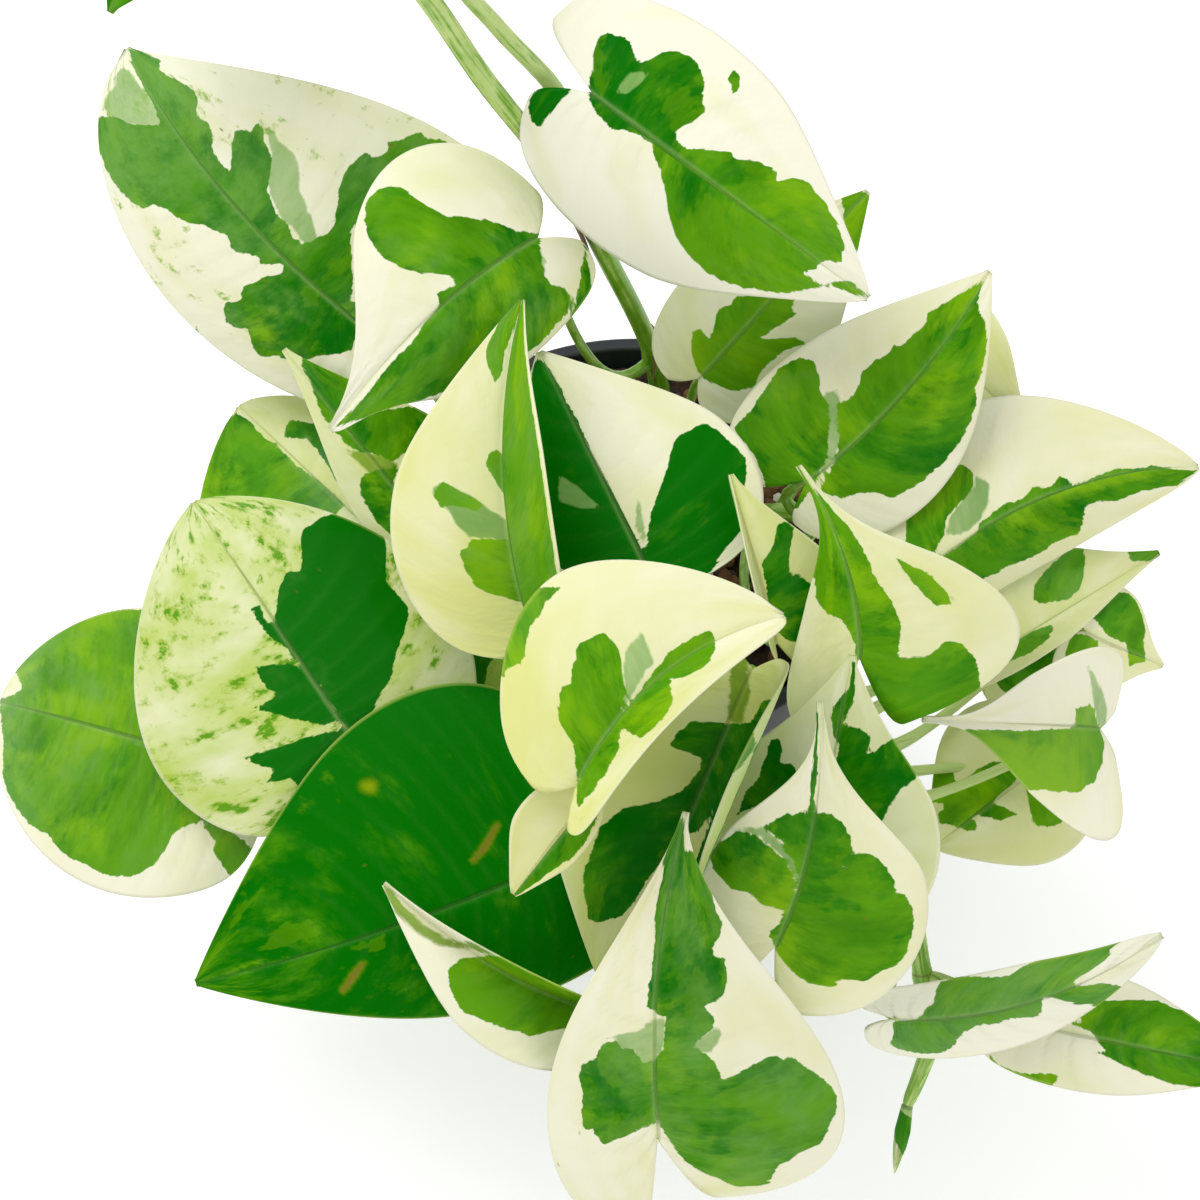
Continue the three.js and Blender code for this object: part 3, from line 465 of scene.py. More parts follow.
        patch("green", 776, 939, 792, 950, 808, 966, 824, 977, 839, 985, 829, 990, 808, 985,
            792, 971, 778, 950),
        patch("green", 816, 816, 823, 812, 833, 816, 843, 826, 849, 837, 848, 851, 844, 861,
            833, 867, 813, 866),
        patch("green", 797, 894, 803, 868, 835, 872, 851, 880, 846, 900, 840, 907, 824, 929,
            776, 934, 786, 915),
        patch("pale", 735, 830, 762, 827, 790, 850, 806, 866, 798, 884, 780, 856, 760, 838)],
    "leaf_14": [
        patch("green", 797, 464, 811, 486, 823, 500, 836, 515, 848, 526, 853, 536, 866, 554,
            874, 573, 891, 599, 902, 624, 899, 646, 891, 669, 879, 688, 856, 659, 855, 646,
            851, 632, 839, 619, 826, 612, 816, 599, 815, 579, 805, 569, 808, 558, 815, 558,
            816, 529, 813, 516, 810, 500, 806, 484),
        patch("green", 876, 668, 893, 664, 908, 659, 930, 657, 938, 650, 946, 642, 961, 643,
            977, 662, 981, 691, 972, 712, 940, 735, 905, 745, 870, 720, 850, 690),
        patch("green", 895, 557, 907, 564, 930, 576, 946, 592, 952, 605, 936, 605, 923, 595,
            907, 576),
        patch("green", 838, 670, 843, 668, 847, 674, 842, 679, 838, 677)],
    "leaf_15": [
        patch("green", 852, 662, 855, 662, 854, 690, 853, 700, 846, 713, 841, 721, 838, 731,
            835, 735, 831, 718, 833, 706, 841, 696, 850, 688),
        patch("green", 839, 739, 841, 731, 848, 726, 858, 726, 866, 733, 870, 738, 869, 744,
            863, 758, 876, 751, 887, 743, 897, 738, 902, 731, 909, 735, 917, 748, 920, 763,
            916, 778, 902, 788, 896, 799, 889, 807, 881, 821, 876, 830, 866, 840, 850, 840,
            840, 800, 836, 766),
        patch("green", 771, 741, 780, 740, 780, 748, 780, 763, 791, 764, 796, 771, 793, 778,
            783, 790, 773, 800, 756, 806, 741, 814, 733, 820, 743, 799, 758, 776, 768, 756)],
    "leaf_16": [
        patch("green", 754, 404, 780, 369, 796, 358, 815, 359, 821, 379, 821, 391, 828, 404,
            829, 430, 826, 455, 818, 477, 796, 509, 767, 490, 756, 455, 735, 430),
        patch("green", 837, 404, 850, 401, 859, 388, 863, 372, 872, 361, 885, 356, 896, 342,
            901, 347, 926, 324, 928, 313, 955, 296, 971, 288, 985, 277, 977, 302, 985, 321,
            987, 343, 982, 372, 974, 391, 979, 399, 971, 423, 942, 465, 920, 484, 891, 497,
            879, 492, 864, 492, 843, 498, 823, 490, 837, 455, 840, 436),
        patch("pale", 828, 404, 837, 404, 840, 436, 830, 460, 828, 440),
        patch("pale", 823, 392, 836, 390, 840, 424, 834, 450, 824, 474, 815, 466, 824, 438)],
    "leaf_17": [
        patch("green", 972, 432, 992, 428, 992, 442, 974, 444)],
    "leaf_18": [
        patch("green", 904, 554, 907, 522, 917, 497, 930, 477, 949, 465, 961, 465, 974, 471,
            973, 487, 960, 503, 947, 519, 945, 536, 925, 562),
        patch("pale", 974, 471, 992, 485, 989, 503, 981, 519, 961, 535, 945, 536, 947, 519,
            960, 503, 973, 487),
        patch("green", 922, 572, 942, 557, 977, 532, 981, 522, 1006, 503, 1019, 500, 1032, 487,
            1041, 484, 1044, 489, 1051, 485, 1060, 474, 1068, 481, 1065, 489, 1083, 501, 1083, 522,
            1079, 535, 1064, 538, 1038, 554, 1003, 570, 981, 579, 955, 578, 930, 572),
        patch("green", 1065, 489, 1099, 477, 1115, 469, 1153, 466, 1197, 471, 1178, 485, 1143, 490,
            1115, 500, 1083, 501)],
    "leaf_19": [
        patch("green", 592, 48, 599, 36, 607, 32, 615, 35, 623, 36, 631, 44, 634, 54, 633, 66,
            626, 78, 617, 92, 604, 88, 592, 80),
        patch("green", 641, 67, 650, 60, 663, 52, 677, 51, 693, 58, 702, 70, 705, 83, 702, 96,
            704, 110, 690, 123, 669, 131, 650, 123, 631, 107, 618, 98, 631, 88, 647, 78),
        patch("green", 606, 84, 622, 78, 636, 74, 646, 80, 640, 92, 625, 100, 608, 98),
        patch("sheen", 615, 93, 620, 84, 630, 73, 640, 72, 648, 73, 640, 84, 628, 94),
        patch("sheen", 542, 106, 547, 97, 558, 88, 563, 93, 555, 106, 544, 118, side=LEFT),
        patch("green", 593, 86, 604, 92, 616, 98, 628, 104, 640, 112, 652, 122, 646, 132, 630, 128,
            612, 122, 600, 110, 592, 98),
        patch("green", 594, 94, 598, 107, 606, 115, 612, 126, 623, 127, 637, 133, 642, 129,
            631, 118, 612, 102),
        patch("green", 645, 131, 654, 145, 661, 171, 666, 188, 667, 212, 677, 238, 688, 254,
            704, 271, 722, 281, 741, 288, 768, 292, 795, 291, 821, 287, 835, 288, 870, 298,
            848, 281, 820, 284, 804, 273, 822, 262, 843, 264, 844, 246, 840, 230, 827, 204,
            808, 182, 792, 177, 776, 184, 777, 171, 757, 161, 736, 161, 730, 153, 709, 149,
            688, 149, 671, 135, 650, 126),
        patch("green", 728, 78, 733, 70, 738, 70, 740, 80, 737, 91, 732, 93, 734, 83),
        patch("green", 528, 104, 535, 91, 551, 84, 572, 87, 562, 99, 543, 121, 540, 129, 532, 121)],
    "leaf_20": [
        patch("green", 692, 332, 700, 329, 710, 346, 717, 319, 720, 308, 730, 304, 736, 295,
            797, 297, 791, 311, 797, 313, 779, 327, 757, 340, 795, 335, 809, 344, 784, 351,
            763, 367, 752, 388, 730, 392, 709, 383, 697, 372, 692, 354),
        patch("green", 840, 180, 868, 194, 872, 222, 864, 240, 848, 266)],
    "leaf_21": [
        patch("green", 533, 362, 543, 358, 569, 402, 592, 453, 610, 489, 635, 538, 650, 570,
            633, 566, 625, 556, 610, 545, 599, 535, 584, 534, 576, 540, 561, 535, 548, 540,
            540, 500, 530, 430),
        patch("sheen", 559, 474, 580, 488, 602, 508, 580, 508, 559, 501),
        patch("green", 673, 446, 677, 437, 689, 433, 704, 424, 714, 427, 724, 436, 737, 448,
            744, 459, 745, 484, 747, 510, 745, 525, 732, 540, 722, 553, 709, 576, 686, 580,
            650, 575, 647, 535, 650, 517, 661, 484, 668, 464),
        patch("pale", 638, 499, 641, 510, 644, 525, 648, 552, 642, 540, 635, 525)],
    "leaf_22": [
        patch("green", 778, 524, 793, 521, 790, 553, 786, 602, 776, 599, 766, 579, 763, 563,
            773, 549)],
    "leaf_23": [
        patch("green", 1032, 601, 1034, 585, 1051, 565, 1066, 551, 1083, 546, 1085, 561, 1084, 578,
            1078, 592, 1066, 600, 1045, 604),
        patch("green", 1128, 550, 1150, 546, 1166, 550, 1150, 562, 1132, 560)],
    "leaf_24": [
        patch("green", 1076, 617, 1093, 600, 1112, 588, 1127, 594, 1139, 614, 1145, 636, 1145, 660,
            1129, 666, 1127, 645, 1108, 632, 1092, 616)],
    "leaf_25": [
        patch("green", 1074, 708, 1083, 706, 1091, 704, 1094, 711, 1094, 728, 1079, 729, 1076, 718),
        patch("green", 1069, 605, 1081, 604, 1091, 616, 1089, 628, 1083, 621, 1079, 626, 1073, 638,
            1070, 628),
        patch("pale", 1088, 665, 1096, 676, 1106, 706, 1108, 728, 1100, 728, 1094, 700),
        patch("green", 940, 729, 981, 730, 1030, 730, 1073, 729, 1099, 729, 1106, 742, 1102, 762,
            1093, 781, 1078, 791, 1054, 792, 1030, 790, 1015, 792, 996, 786, 976, 769, 957, 750,
            945, 737)],
    "leaf_26": [
        patch("green", 933, 774, 940, 767, 952, 769, 957, 786, 956, 800, 945, 805, 930, 800,
            930, 786),
        patch("green", 964, 808, 979, 793, 993, 803, 1018, 815, 1001, 819, 981, 815),
        patch("green", 930, 813, 957, 813, 974, 820, 977, 830, 967, 832, 950, 824, 935, 819)],
    "leaf_27": [
        patch("lime", 383, 884, 392, 890, 402, 906, 424, 926, 448, 940, 478, 944, 508, 952,
            540, 968, 566, 984, 588, 988, 588, 996, 560, 992, 534, 975, 504, 958, 476, 950,
            444, 946, 418, 932, 396, 912, 384, 892),
        patch("green", 448, 977, 449, 966, 461, 959, 477, 956, 517, 957, 545, 971, 584, 991,
            590, 1015, 573, 1027, 531, 1036, 489, 1022, 463, 1011, 455, 997)],
    "leaf_28": [
        patch("green", 936, 989, 940, 982, 955, 977, 981, 975, 1001, 978, 1020, 985, 1033, 982,
            1046, 978, 1064, 979, 1077, 986, 1099, 983, 1120, 985, 1140, 991, 1153, 1002,
            1129, 1006, 1099, 1006, 1072, 1004, 1051, 998, 1042, 995, 1043, 1006, 1040, 1015,
            1031, 1018, 1012, 1018, 994, 1024, 981, 1024, 962, 1034, 942, 1043, 927, 1046,
            914, 1044, 903, 1039, 906, 1032, 919, 1030, 923, 1028, 909, 1024, 923, 1015, 927, 1008,
            936, 1004)],
    "leaf_29": [
        patch("green", 988, 1050, 999, 1065, 1020, 1071, 1040, 1073, 1061, 1074, 1051, 1088,
            1033, 1094, 1005, 1090, 990, 1069),
        patch("green", 1068, 1008, 1075, 1002, 1099, 1000, 1159, 1000, 1200, 1017, 1240, 1040,
            1240, 1090, 1174, 1084, 1142, 1074, 1120, 1064, 1096, 1052, 1105, 1052, 1094, 1034,
            1081, 1028, 1066, 1021, 1081, 1021, 1079, 1015)],
    "leaf_30": [
        patch("green", 996, 670, 1005, 655, 1025, 641, 1049, 631, 1071, 625, 1068, 641, 1061, 660,
            1049, 675, 1032, 690, 1015, 690, 1001, 679)],
}

# Bands: from one share of the length to another along the side veins, and of the half width.
SECTORS = {
    "leaf_01": [("green", RIGHT, 0.02, 0.16, 0.0, 0.45)],
    "leaf_02": [("green", LEFT, 0.0, 0.4, 0.1, 0.75), ("lime", RIGHT, 0.1, 0.3, 0.0, 0.5)],
    "leaf_03": [("green", LEFT, 0.1, 0.5, 0.0, 0.7)],
    "leaf_06": [("green", LEFT, 0.2, 0.42, 0.0, 0.7), ("green", RIGHT, 0.5, 0.75, 0.0, 0.8),
        ("pale", LEFT, 0.55, 0.8, 0.0, 0.6)],
    "leaf_07": [("green", RIGHT, 0.05, 0.32, 0.0, 0.7), ("green", LEFT, 0.2, 0.6, 0.1, 0.8)],
    "leaf_08": [("green", BOTH, -0.6, 1.2, -0.5, 1.5)],
    "leaf_09": [("green", RIGHT, -0.4, 1.05, -0.5, 0.93)],
    "leaf_11": [("green", LEFT, 0.1, 0.6, 0.3, 0.8)],
    "leaf_17": [("green", LEFT, 0.05, 0.35, 0.0, 0.7), ("green", RIGHT, 0.4, 0.7, 0.2, 0.8)],
    "leaf_21": [("green", LEFT, -0.2, 0.55, -0.3, 0.55)],
    "leaf_22": [("green", RIGHT, 0.1, 0.5, 0.0, 0.6)],
    "leaf_23": [("green", RIGHT, 0.1, 0.5, 0.0, 0.6)],
    "leaf_24": [("green", RIGHT, 0.0, 0.45, 0.0, 0.8), ("green", LEFT, 0.3, 0.6, 0.1, 0.9)],
    "leaf_26": [("green", LEFT, 0.15, 0.45, 0.0, 0.7), ("green", RIGHT, 0.35, 0.8, 0.0, 0.5)],
    "leaf_28": [("green", RIGHT, 0.05, 0.3, 0.0, 0.9), ("green", LEFT, 0.5, 0.8, 0.1, 1.3)],
    "leaf_30": [("green", RIGHT, 0.1, 0.5, 0.0, 0.7)],
    "leaf_31": [("green", LEFT, -0.4, 1.05, -0.5, 0.8)],
    "leaf_32": [("green", LEFT, 0.1, 0.5, 0.0, 0.75), ("green", RIGHT, 0.3, 0.66, 0.0, 0.85),
        ("green", BOTH, 0.8, 1.1, -0.1, 1.2), ("pale", RIGHT, 0.66, 0.78, 0.0, 0.6)],
    "leaf_33": [("green", LEFT, 0.05, 0.34, 0.0, 0.8), ("green", RIGHT, 0.25, 0.6, 0.1, 0.8),
        ("pale", LEFT, 0.34, 0.5, 0.0, 0.7), ("green", BOTH, 0.7, 0.9, -0.1, 0.5)],
}

# Looks by leaf; a pair goes from the leaf's base to its tip. In the green, fresh makes it lighter
# and bloom lays a streaky painted sheen of grey-green over it. In the cream, butter makes it
# yellower or, below 0, whiter; that is partly the cream's own tone and partly painted light: yellow
# for painted shade, white to lift leaves that face away from the light. Mottle adds green flecks
# and tint lime clouds. Shade is the depth of pale patches, gloss the coat, fleck the brown specks;
# veins and rib say how much those show, stalk how pale the stalk is, thick how thick.
LOOKS = {
    "leaf_01": dict(mottle=(0.42, 0.52), fleck=1.0, fresh=(0.3, 0.6), painted_sheen=(0.35, 0.85), tint=0.05,
        shade=0.1, butter_and_painted_light=(0.05, -0.12)),
    "leaf_02": dict(fresh=0.6, butter_and_painted_light=0.45, mottle=0.3, tint=0.4, gloss=0.2),
    "leaf_03": dict(fresh=0.5, butter_and_painted_light=0.4, tint=0.3),
    "leaf_04": dict(fresh=(0.5, 0.7), butter_and_painted_light=(0.1, -0.1), painted_sheen=(0.3, 0.55)),
    "leaf_05": dict(fresh=(-0.4, -0.2), mottle=0.56, painted_sheen=0.3, butter_and_painted_light=0.2, tint=0.8, shade=0.1,
        gloss=0.15, fleck=0.3),
    "leaf_06": dict(fresh=0.3, mottle=0.5, butter_and_painted_light=0.5, tint=1.0, stalk=0.8),
    "leaf_07": dict(fresh=0.8, mottle=0.3, painted_sheen=0.42, gloss=0.3, veins=4),
    "leaf_08": dict(fresh=(-0.3, 0.36), painted_sheen=0.0, gloss=0.0, fleck=0.4, rib=0.35),
    "leaf_09": dict(fresh=(0.8, 1.05), painted_sheen=0.5, butter_and_painted_light=(0.9, 0.35), shade=1.1),
    "leaf_10": dict(fresh=(0.7, 0.9), butter_and_painted_light=(0.85, 0.15), fleck=0.3),
    "leaf_11": dict(fresh=0.25, butter_and_painted_light=0.75, tint=0.3),
    "leaf_12": dict(fresh=(0.65, 0.3), painted_sheen=(0.55, 0.5), butter_and_painted_light=0.1, shade=0.2, gloss=0.15,
        fleck=0.6, veins=2),
    "leaf_13": dict(fresh=(0.75, 0.3), painted_sheen=0.15, butter_and_painted_light=0.2, shade=0.9, gloss=0.15, fleck=0.4),
    "leaf_14": dict(fresh=0.72, painted_sheen=0.0, butter_and_painted_light=0.4, tint=0.1, fleck=0.4),
    "leaf_15": dict(fresh=0.25, painted_sheen=0.3, butter_and_painted_light=0.2, tint=0.3),
    "leaf_16": dict(fresh=0.62, painted_sheen=0.2, butter_and_painted_light=0.1),
    "leaf_17": dict(fresh=0.7, butter_and_painted_light=0.6),
    "leaf_18": dict(fresh=0.6, painted_sheen=0.05, butter_and_painted_light=0.3, shade=0.8),
    "leaf_19": dict(fresh=(0.05, 1.05), painted_sheen=(0.1, 0.5), butter_and_painted_light=-0.1, stalk=0.2),
    "leaf_20": dict(fresh=0.9, painted_sheen=0.0, butter_and_painted_light=0.15),
    "leaf_21": dict(fresh=-0.1, butter_and_painted_light=0.15, painted_sheen=0.0),
    "leaf_22": dict(fresh=0.3, butter_and_painted_light=0.7, tint=0.3),
    "leaf_23": dict(fresh=0.6, painted_sheen=0.5, butter_and_painted_light=0.5, tint=0.3, stalk=0.9),
    "leaf_24": dict(fresh=0.7, painted_sheen=0.2, butter_and_painted_light=0.3, gloss=0.1, stalk=0.95),
    "leaf_25": dict(fresh=1.0, painted_sheen=0.3, butter_and_painted_light=0.0, gloss=0.8, stalk=0.95),
    "leaf_26": dict(fresh=0.7, butter_and_painted_light=0.5, tint=0.1, stalk=0.95),
    "leaf_27": dict(fresh=0.85, painted_sheen=0.05, butter_and_painted_light=0.0),
    "leaf_28": dict(fresh=0.7, painted_sheen=0.55, butter_and_painted_light=-0.1, gloss=0.35, stalk=0.7, veins=4),
    "leaf_29": dict(fresh=(1.05, 0.2), painted_sheen=0.2, butter_and_painted_light=0.0, stalk=0.7, veins=3),
    "leaf_30": dict(fresh=0.6, butter_and_painted_light=0.4, tint=0.2, stalk=0.95),
    "leaf_31": dict(butter_and_painted_light=0.85),
    "leaf_33": dict(stalk=0.75, thick=1.6),
}
PLAIN_LOOK = dict(fresh=0.5, painted_sheen=0.2, butter_and_painted_light=0.1, mottle=0.0, tint=0.0, shade=0.3, gloss=0.06,
                  fleck=0.0, veins=1, rib=1, stalk=0.35, thick=1)
FROM_BASE_TO_TIP = ("fresh", "painted_sheen", "butter_and_painted_light", "mottle", "tint", "shade", "gloss", "fleck")


def look(name, kind):
    """A leaf's own look of that kind, or else the plain leaf's."""
    return LOOKS.get(name, {}).get(kind, PLAIN_LOOK[kind])


# ---- Paint ----

STUDIO_LIGHT = 1.15
FLOOR_GLOW = 0.42


def paint(red, green, blue):
    """Linear colour that shows as a screen colour under the studio's light: each share below
    0.04045 over 12.92, and above it (share + 0.055) / 1.055 to the power 2.4, over the light."""
    shares = (np.array([red, green, blue]) / 255).tolist()
    linear = [s / 12.92 if s <= 0.04045 else ((s + 0.055) / 1.055) ** 2.4 for s in shares]
    return tuple(s / STUDIO_LIGHT for s in linear)


class Value:
    """A node's output; an expression on it adds the Math nodes that work it out."""

    def __init__(self, finish, socket):
        """Keep the material that the node is in, and its output."""
        self.finish = finish
        self.socket = socket

    def math(self, operation, *others):
        """The Math node of that operation on the given values, in their order."""
        values = dict(enumerate(others))
        return self.finish.node("ShaderNodeMath", dict(operation=operation), values)

    def __add__(self, other):
        """The sum."""
        return self.math("ADD", self, other)

    def __sub__(self, other):
        """The difference."""
        return self.math("SUBTRACT", self, other)

    def __rsub__(self, other):
        """The difference where the value comes second, as in 1 - mask."""
        return self.math("SUBTRACT", other, self)

    def __mul__(self, other):
        """The product."""
        return self.math("MULTIPLY", self, other)

    __radd__ = __add__
    __rmul__ = __mul__

    def most(self, other):
        """The larger of two values."""
        return self.math("MAXIMUM", self, other)

    def step(self, low, high):
        """0 below low and 1 above high, eased between them."""
        settings = dict(interpolation_type="SMOOTHSTEP", clamp=True)
        values = {"Value": self, "From Min": low, "From Max": high}
        return self.finish.node("ShaderNodeMapRange", settings, values)


class Finish:
    """A material: its Principled shader and the nodes that feed it."""

    def __init__(self, name, **fixed):
        """Make the material and set its shader's fixed values."""
        self.material = bpy.data.materials.new(name)
        self.material.use_nodes = True
        self.tree = self.material.node_tree
        self.shader = self.tree.nodes["Principled BSDF"]
        for socket, value in fixed.items():
            self.shader.inputs[socket.replace("_", " ")].default_value = value

    def put(self, socket, value):
        """Link a value into a socket, or set it there."""
        if isinstance(value, Value):
            self.tree.links.new(value.socket, socket)
        elif socket.type == "RGBA":
            socket.default_value = (*value, 1.0)
        else:
            socket.default_value = value

    def node(self, kind, settings, values, out=0):
        """A node of any type: its settings first, then its sockets' values and links."""
        made = self.tree.nodes.new(kind)
        for name, value in settings.items():
            setattr(made, name, value)
        for name, value in values.items():
            self.put(made.inputs[name], value)
        return Value(self, made.outputs[out])

    def mix(self, factor, first, second):
        """Colour that goes from first to second as the factor goes from 0 to 1."""
        settings = dict(data_type="RGBA", clamp_factor=True)
        return self.node("ShaderNodeMix", settings, {0: factor, 6: first, 7: second}, 2)

    def mark(self, name):
        """Value of the mesh attribute of that name."""
        return self.node("ShaderNodeAttribute", dict(attribute_name=name), {}, "Fac")

    def here(self):
        """Place on the piece, in metres."""
        return self.node("ShaderNodeTexCoord", {}, {}, "Object")

    def run(self):
        """Place on the piece's own map, whose first two axes follow its veins or its length."""
        return self.node("ShaderNodeUVMap", dict(uv_map="vein"), {}, "UV")

    def place(self, where, *stretch):
        """Coordinates multiplied by a stretch along each axis."""
        return self.node("ShaderNodeMapping", {}, {"Vector": where, "Scale": stretch})

    def noise(self, where, scale, detail=2.0, roughness=0.5):
        """Cloudy pattern from 0 to 1, of the given count of clouds a metre."""
        values = {"Vector": where, "Scale": scale, "Detail": detail, "Roughness": roughness}
        return self.node("ShaderNodeTexNoise", {}, values, "Fac")

    def cells(self, where, scale, dimensions):
        """Distance to the nearest of scattered points, of the given count a metre."""
        settings = dict(feature="F1", voronoi_dimensions=dimensions)
        values = {"Vector": where, "Scale": scale}
        return self.node("ShaderNodeTexVoronoi", settings, values, "Distance")

    def ridge(self, height, distance, strength):
        """Normal of a surface raised by the height times the distance."""
        values = {"Height": height, "Distance": distance, "Strength": strength}
        return self.node("ShaderNodeBump", {}, values)

    def done(self, **sockets):
        """The material, with its colour, roughness or normal linked in."""
        for socket, value in sockets.items():
            self.put(self.shader.inputs[socket.replace("_", " ")], value)
        return self.material


WHITE = paint(255, 254, 242)
CREAM = paint(252, 250, 222)
BUTTER = paint(230, 232, 148)
PALE_LIME = paint(192, 214, 104)
LIME = paint(150, 186, 30)
OLIVE = paint(108, 150, 2)
GREY_GREEN = paint(152, 190, 112)
BRIGHT = paint(130, 184, 12)
FOLIAGE = paint(84, 156, 14)
DEEP = paint(4, 113, 0)
SHEEN_GREEN = paint(112, 166, 76)
GOLD = paint(152, 172, 6)
BROWN = paint(136, 112, 48)
STEM_GREEN, STEM_AGED = paint(108, 168, 18), paint(162, 208, 62)
STEM_CREAM, STEM_LIME = paint(226, 238, 170), paint(184, 218, 106)
RING_BROWN = paint(120, 92, 50)
PLASTIC_DARK, PLASTIC_DUSTY = paint(33, 42, 46), paint(74, 84, 86)
SOIL_DARK, SOIL_LIGHT = paint(22, 13, 10), paint(84, 54, 34)
FIBRE, CREVICE_SHADE = paint(126, 92, 60), paint(16, 10, 7)
BARK_DARK, BARK_LIGHT = paint(44, 26, 16), paint(136, 90, 52)
GRAIN_WHITE, GRAIN_GREY = paint(250, 248, 238), paint(196, 186, 168)
HUSK_BROWN, HUSK_TAN = paint(96, 70, 44), paint(176, 146, 104)
FLOOR_WHITE = paint(249, 249, 249)

# Patterns, in clouds a metre: on a blade, and then on stems, pot, soil, chips and sheaths.
PORES, RAGGED, FINE, STREAK, SPOTS, BROAD, CLOUD, BLOCK, SHEEN_CLOUDS, WASH, FLECK = (
    2600, 900, 520, 420, 270, 160, 110, 95, 75, 55, 34)
STEM_PORES, STEM_STREAK, STEM_CLOUD = 2200, 900, 130
PLASTIC_GRAIN, DRAW_LINES, DUST = 1500, 420, 38
SOIL_GRIT, FIBRES, CRUMBS, SOIL_CLOUD = 900, 800, 620, 140
CHIP_CLOUD, HUSK_LINES = 700, 1500


def leaf_finish():
    """Blade: cream, and green where a patch's distance plus a noise drawn out along the side
    veins is above 0; veins and small swellings between them in the bump."""
    f = Finish("variegated_blade", Roughness=0.42, Specular_IOR_Level=0.02, Coat_Roughness=0.16)
    vein = f.run()
    along = f.place(vein, 1.0, 0.28, 1.0)
    ragged = f.noise(along, RAGGED, 2.0, 0.6) - 0.5
    broad = f.noise(f.place(vein, 1.0, 0.35, 1.0), BROAD) - 0.5
    edge = ragged * 1.17 + broad * 1.8
    green = (f.mark("green") + edge).step(-0.12, 0.12)
    pale = (f.mark("pale") + edge).step(-0.3, 0.3)
    lime = (f.mark("lime") + edge).step(-0.4, 0.4)
    cloud = f.noise(f.place(vein, 1.0, 0.4, 1.0), CLOUD, 3.0, 0.55)
    wash = f.noise(vein, WASH)
    streak = f.noise(along, STREAK, 3.0, 0.75) * 0.83 + 0.085
    fresh = f.mark("fresh")
    # Painted light in part: butter turns the cream yellow as painted shade, or white below 0 as a
    # painted lift; the rest is the cream's own tone.
    butter_and_painted_light = f.mark("butter_and_painted_light")
    lightest = f.mix(butter_and_painted_light * -3.0, CREAM, WHITE)
    cream = f.mix((wash - 0.45) * 1.6 + butter_and_painted_light, lightest, BUTTER)
    cream = f.mix(f.mark("tint") * (cloud * 2.6 - 0.5), cream, PALE_LIME)
    mottle = f.mark("mottle")
    fine = f.noise(f.place(vein, 1.0, 0.45, 1.0), FINE, 3.0, 0.7) * 0.92 + 0.04
    spots = f.noise(f.place(vein, 1.0, 0.5, 1.0), SPOTS, 3.0, 0.6)
    flecks = fine * 0.5 + spots * 0.6 + wash * 0.4 + mottle
    cream = f.mix((flecks - 1.3).step(0.0, 0.12) * 0.75, cream, LIME)
    cream = f.mix((flecks - 1.38).step(0.0, 0.05) * (mottle * 6.0 - 2.5), cream, FOLIAGE)
    cream = f.mix(lime * 0.9, cream, f.mix(cloud * 1.6 - 0.5, OLIVE, LIME))
    shaded = f.mix(f.mark("shade") + (streak - 0.5) * 2.5, GREY_GREEN, SHEEN_GREEN)
    cream = f.mix(pale * (0.6 + cloud * 0.45), cream, shaded)
    block = f.noise(f.place(vein, 1.0, 0.5, 1.0), BLOCK, 4.0, 0.6)
    depth = (cloud - 0.5) * 2.2 + (streak - 0.5) * 1.2 + fresh
    tone = f.mix(depth.step(0.0, 1.0), DEEP, FOLIAGE)
    tone = f.mix((block + fresh * 0.3 - 0.66).step(-0.015, 0.035) * 0.24, tone, BRIGHT)
    washed = (wash - 0.5) * 3.0 + (streak - 0.5) * 1.2 + fresh - 0.3
    tone = f.mix(washed.step(0.35, 1.1), tone, BRIGHT)
    # Painted sheen: streaky grey-green laid into the green where a glossy leaf would catch the
    # light.
    painted_sheen = (f.noise(vein, SHEEN_CLOUDS, 3.0, 0.6) + f.mark("painted_sheen") - 1.0).step(-0.15, 0.35)
    tone = f.mix(painted_sheen * (streak * 1.6 + cloud * 0.6 - 0.4), tone, SHEEN_GREEN)
    sheen = (f.mark("sheen") + edge * 0.5).step(-0.25, 0.25)
    tone = f.mix(sheen * 0.9, tone, f.mix(streak * 1.4 - 0.2, SHEEN_GREEN, GREY_GREEN))
    ribs = f.mark("veins")
    midrib = f.mark("midrib")
    tone = f.mix(midrib * 0.5 + ribs * 0.05, tone, GREY_GREEN)
    colour = f.mix(green, f.mix(midrib * 0.4 + ribs * 0.03, cream, PALE_LIME), tone)
    colour = f.mix(f.mark("edge") * 0.6, colour, f.mix(green, CREAM, PALE_LIME))
    colour = f.mix(f.mark("under") * 0.4, colour, GREY_GREEN)
    fleck = (f.cells(vein, FLECK, "2D") * -3.0 + 0.05).step(0.0, 0.02) * f.mark("fleck")
    scorch = f.mark("scorch") + (fine - 0.5) * 0.5
    gold = f.mark("gold") + (fine - 0.5) * 0.4
    colour = f.mix(gold.most(scorch * 0.8).step(0.1, 1.1) * 0.8, colour, GOLD)
    colour = f.mix((fleck * 0.6).most(scorch.step(0.55, 1.05) * 0.85), colour, BROWN)
    height = ribs * -0.5 + f.noise(vein, PORES, 0.0) * 0.06 + cloud * 2.0
    gloss = f.mark("gloss")
    return f.done(Base_Color=colour, Coat_Weight=gloss, Normal=f.ridge(height, 0.0005, 0.6))


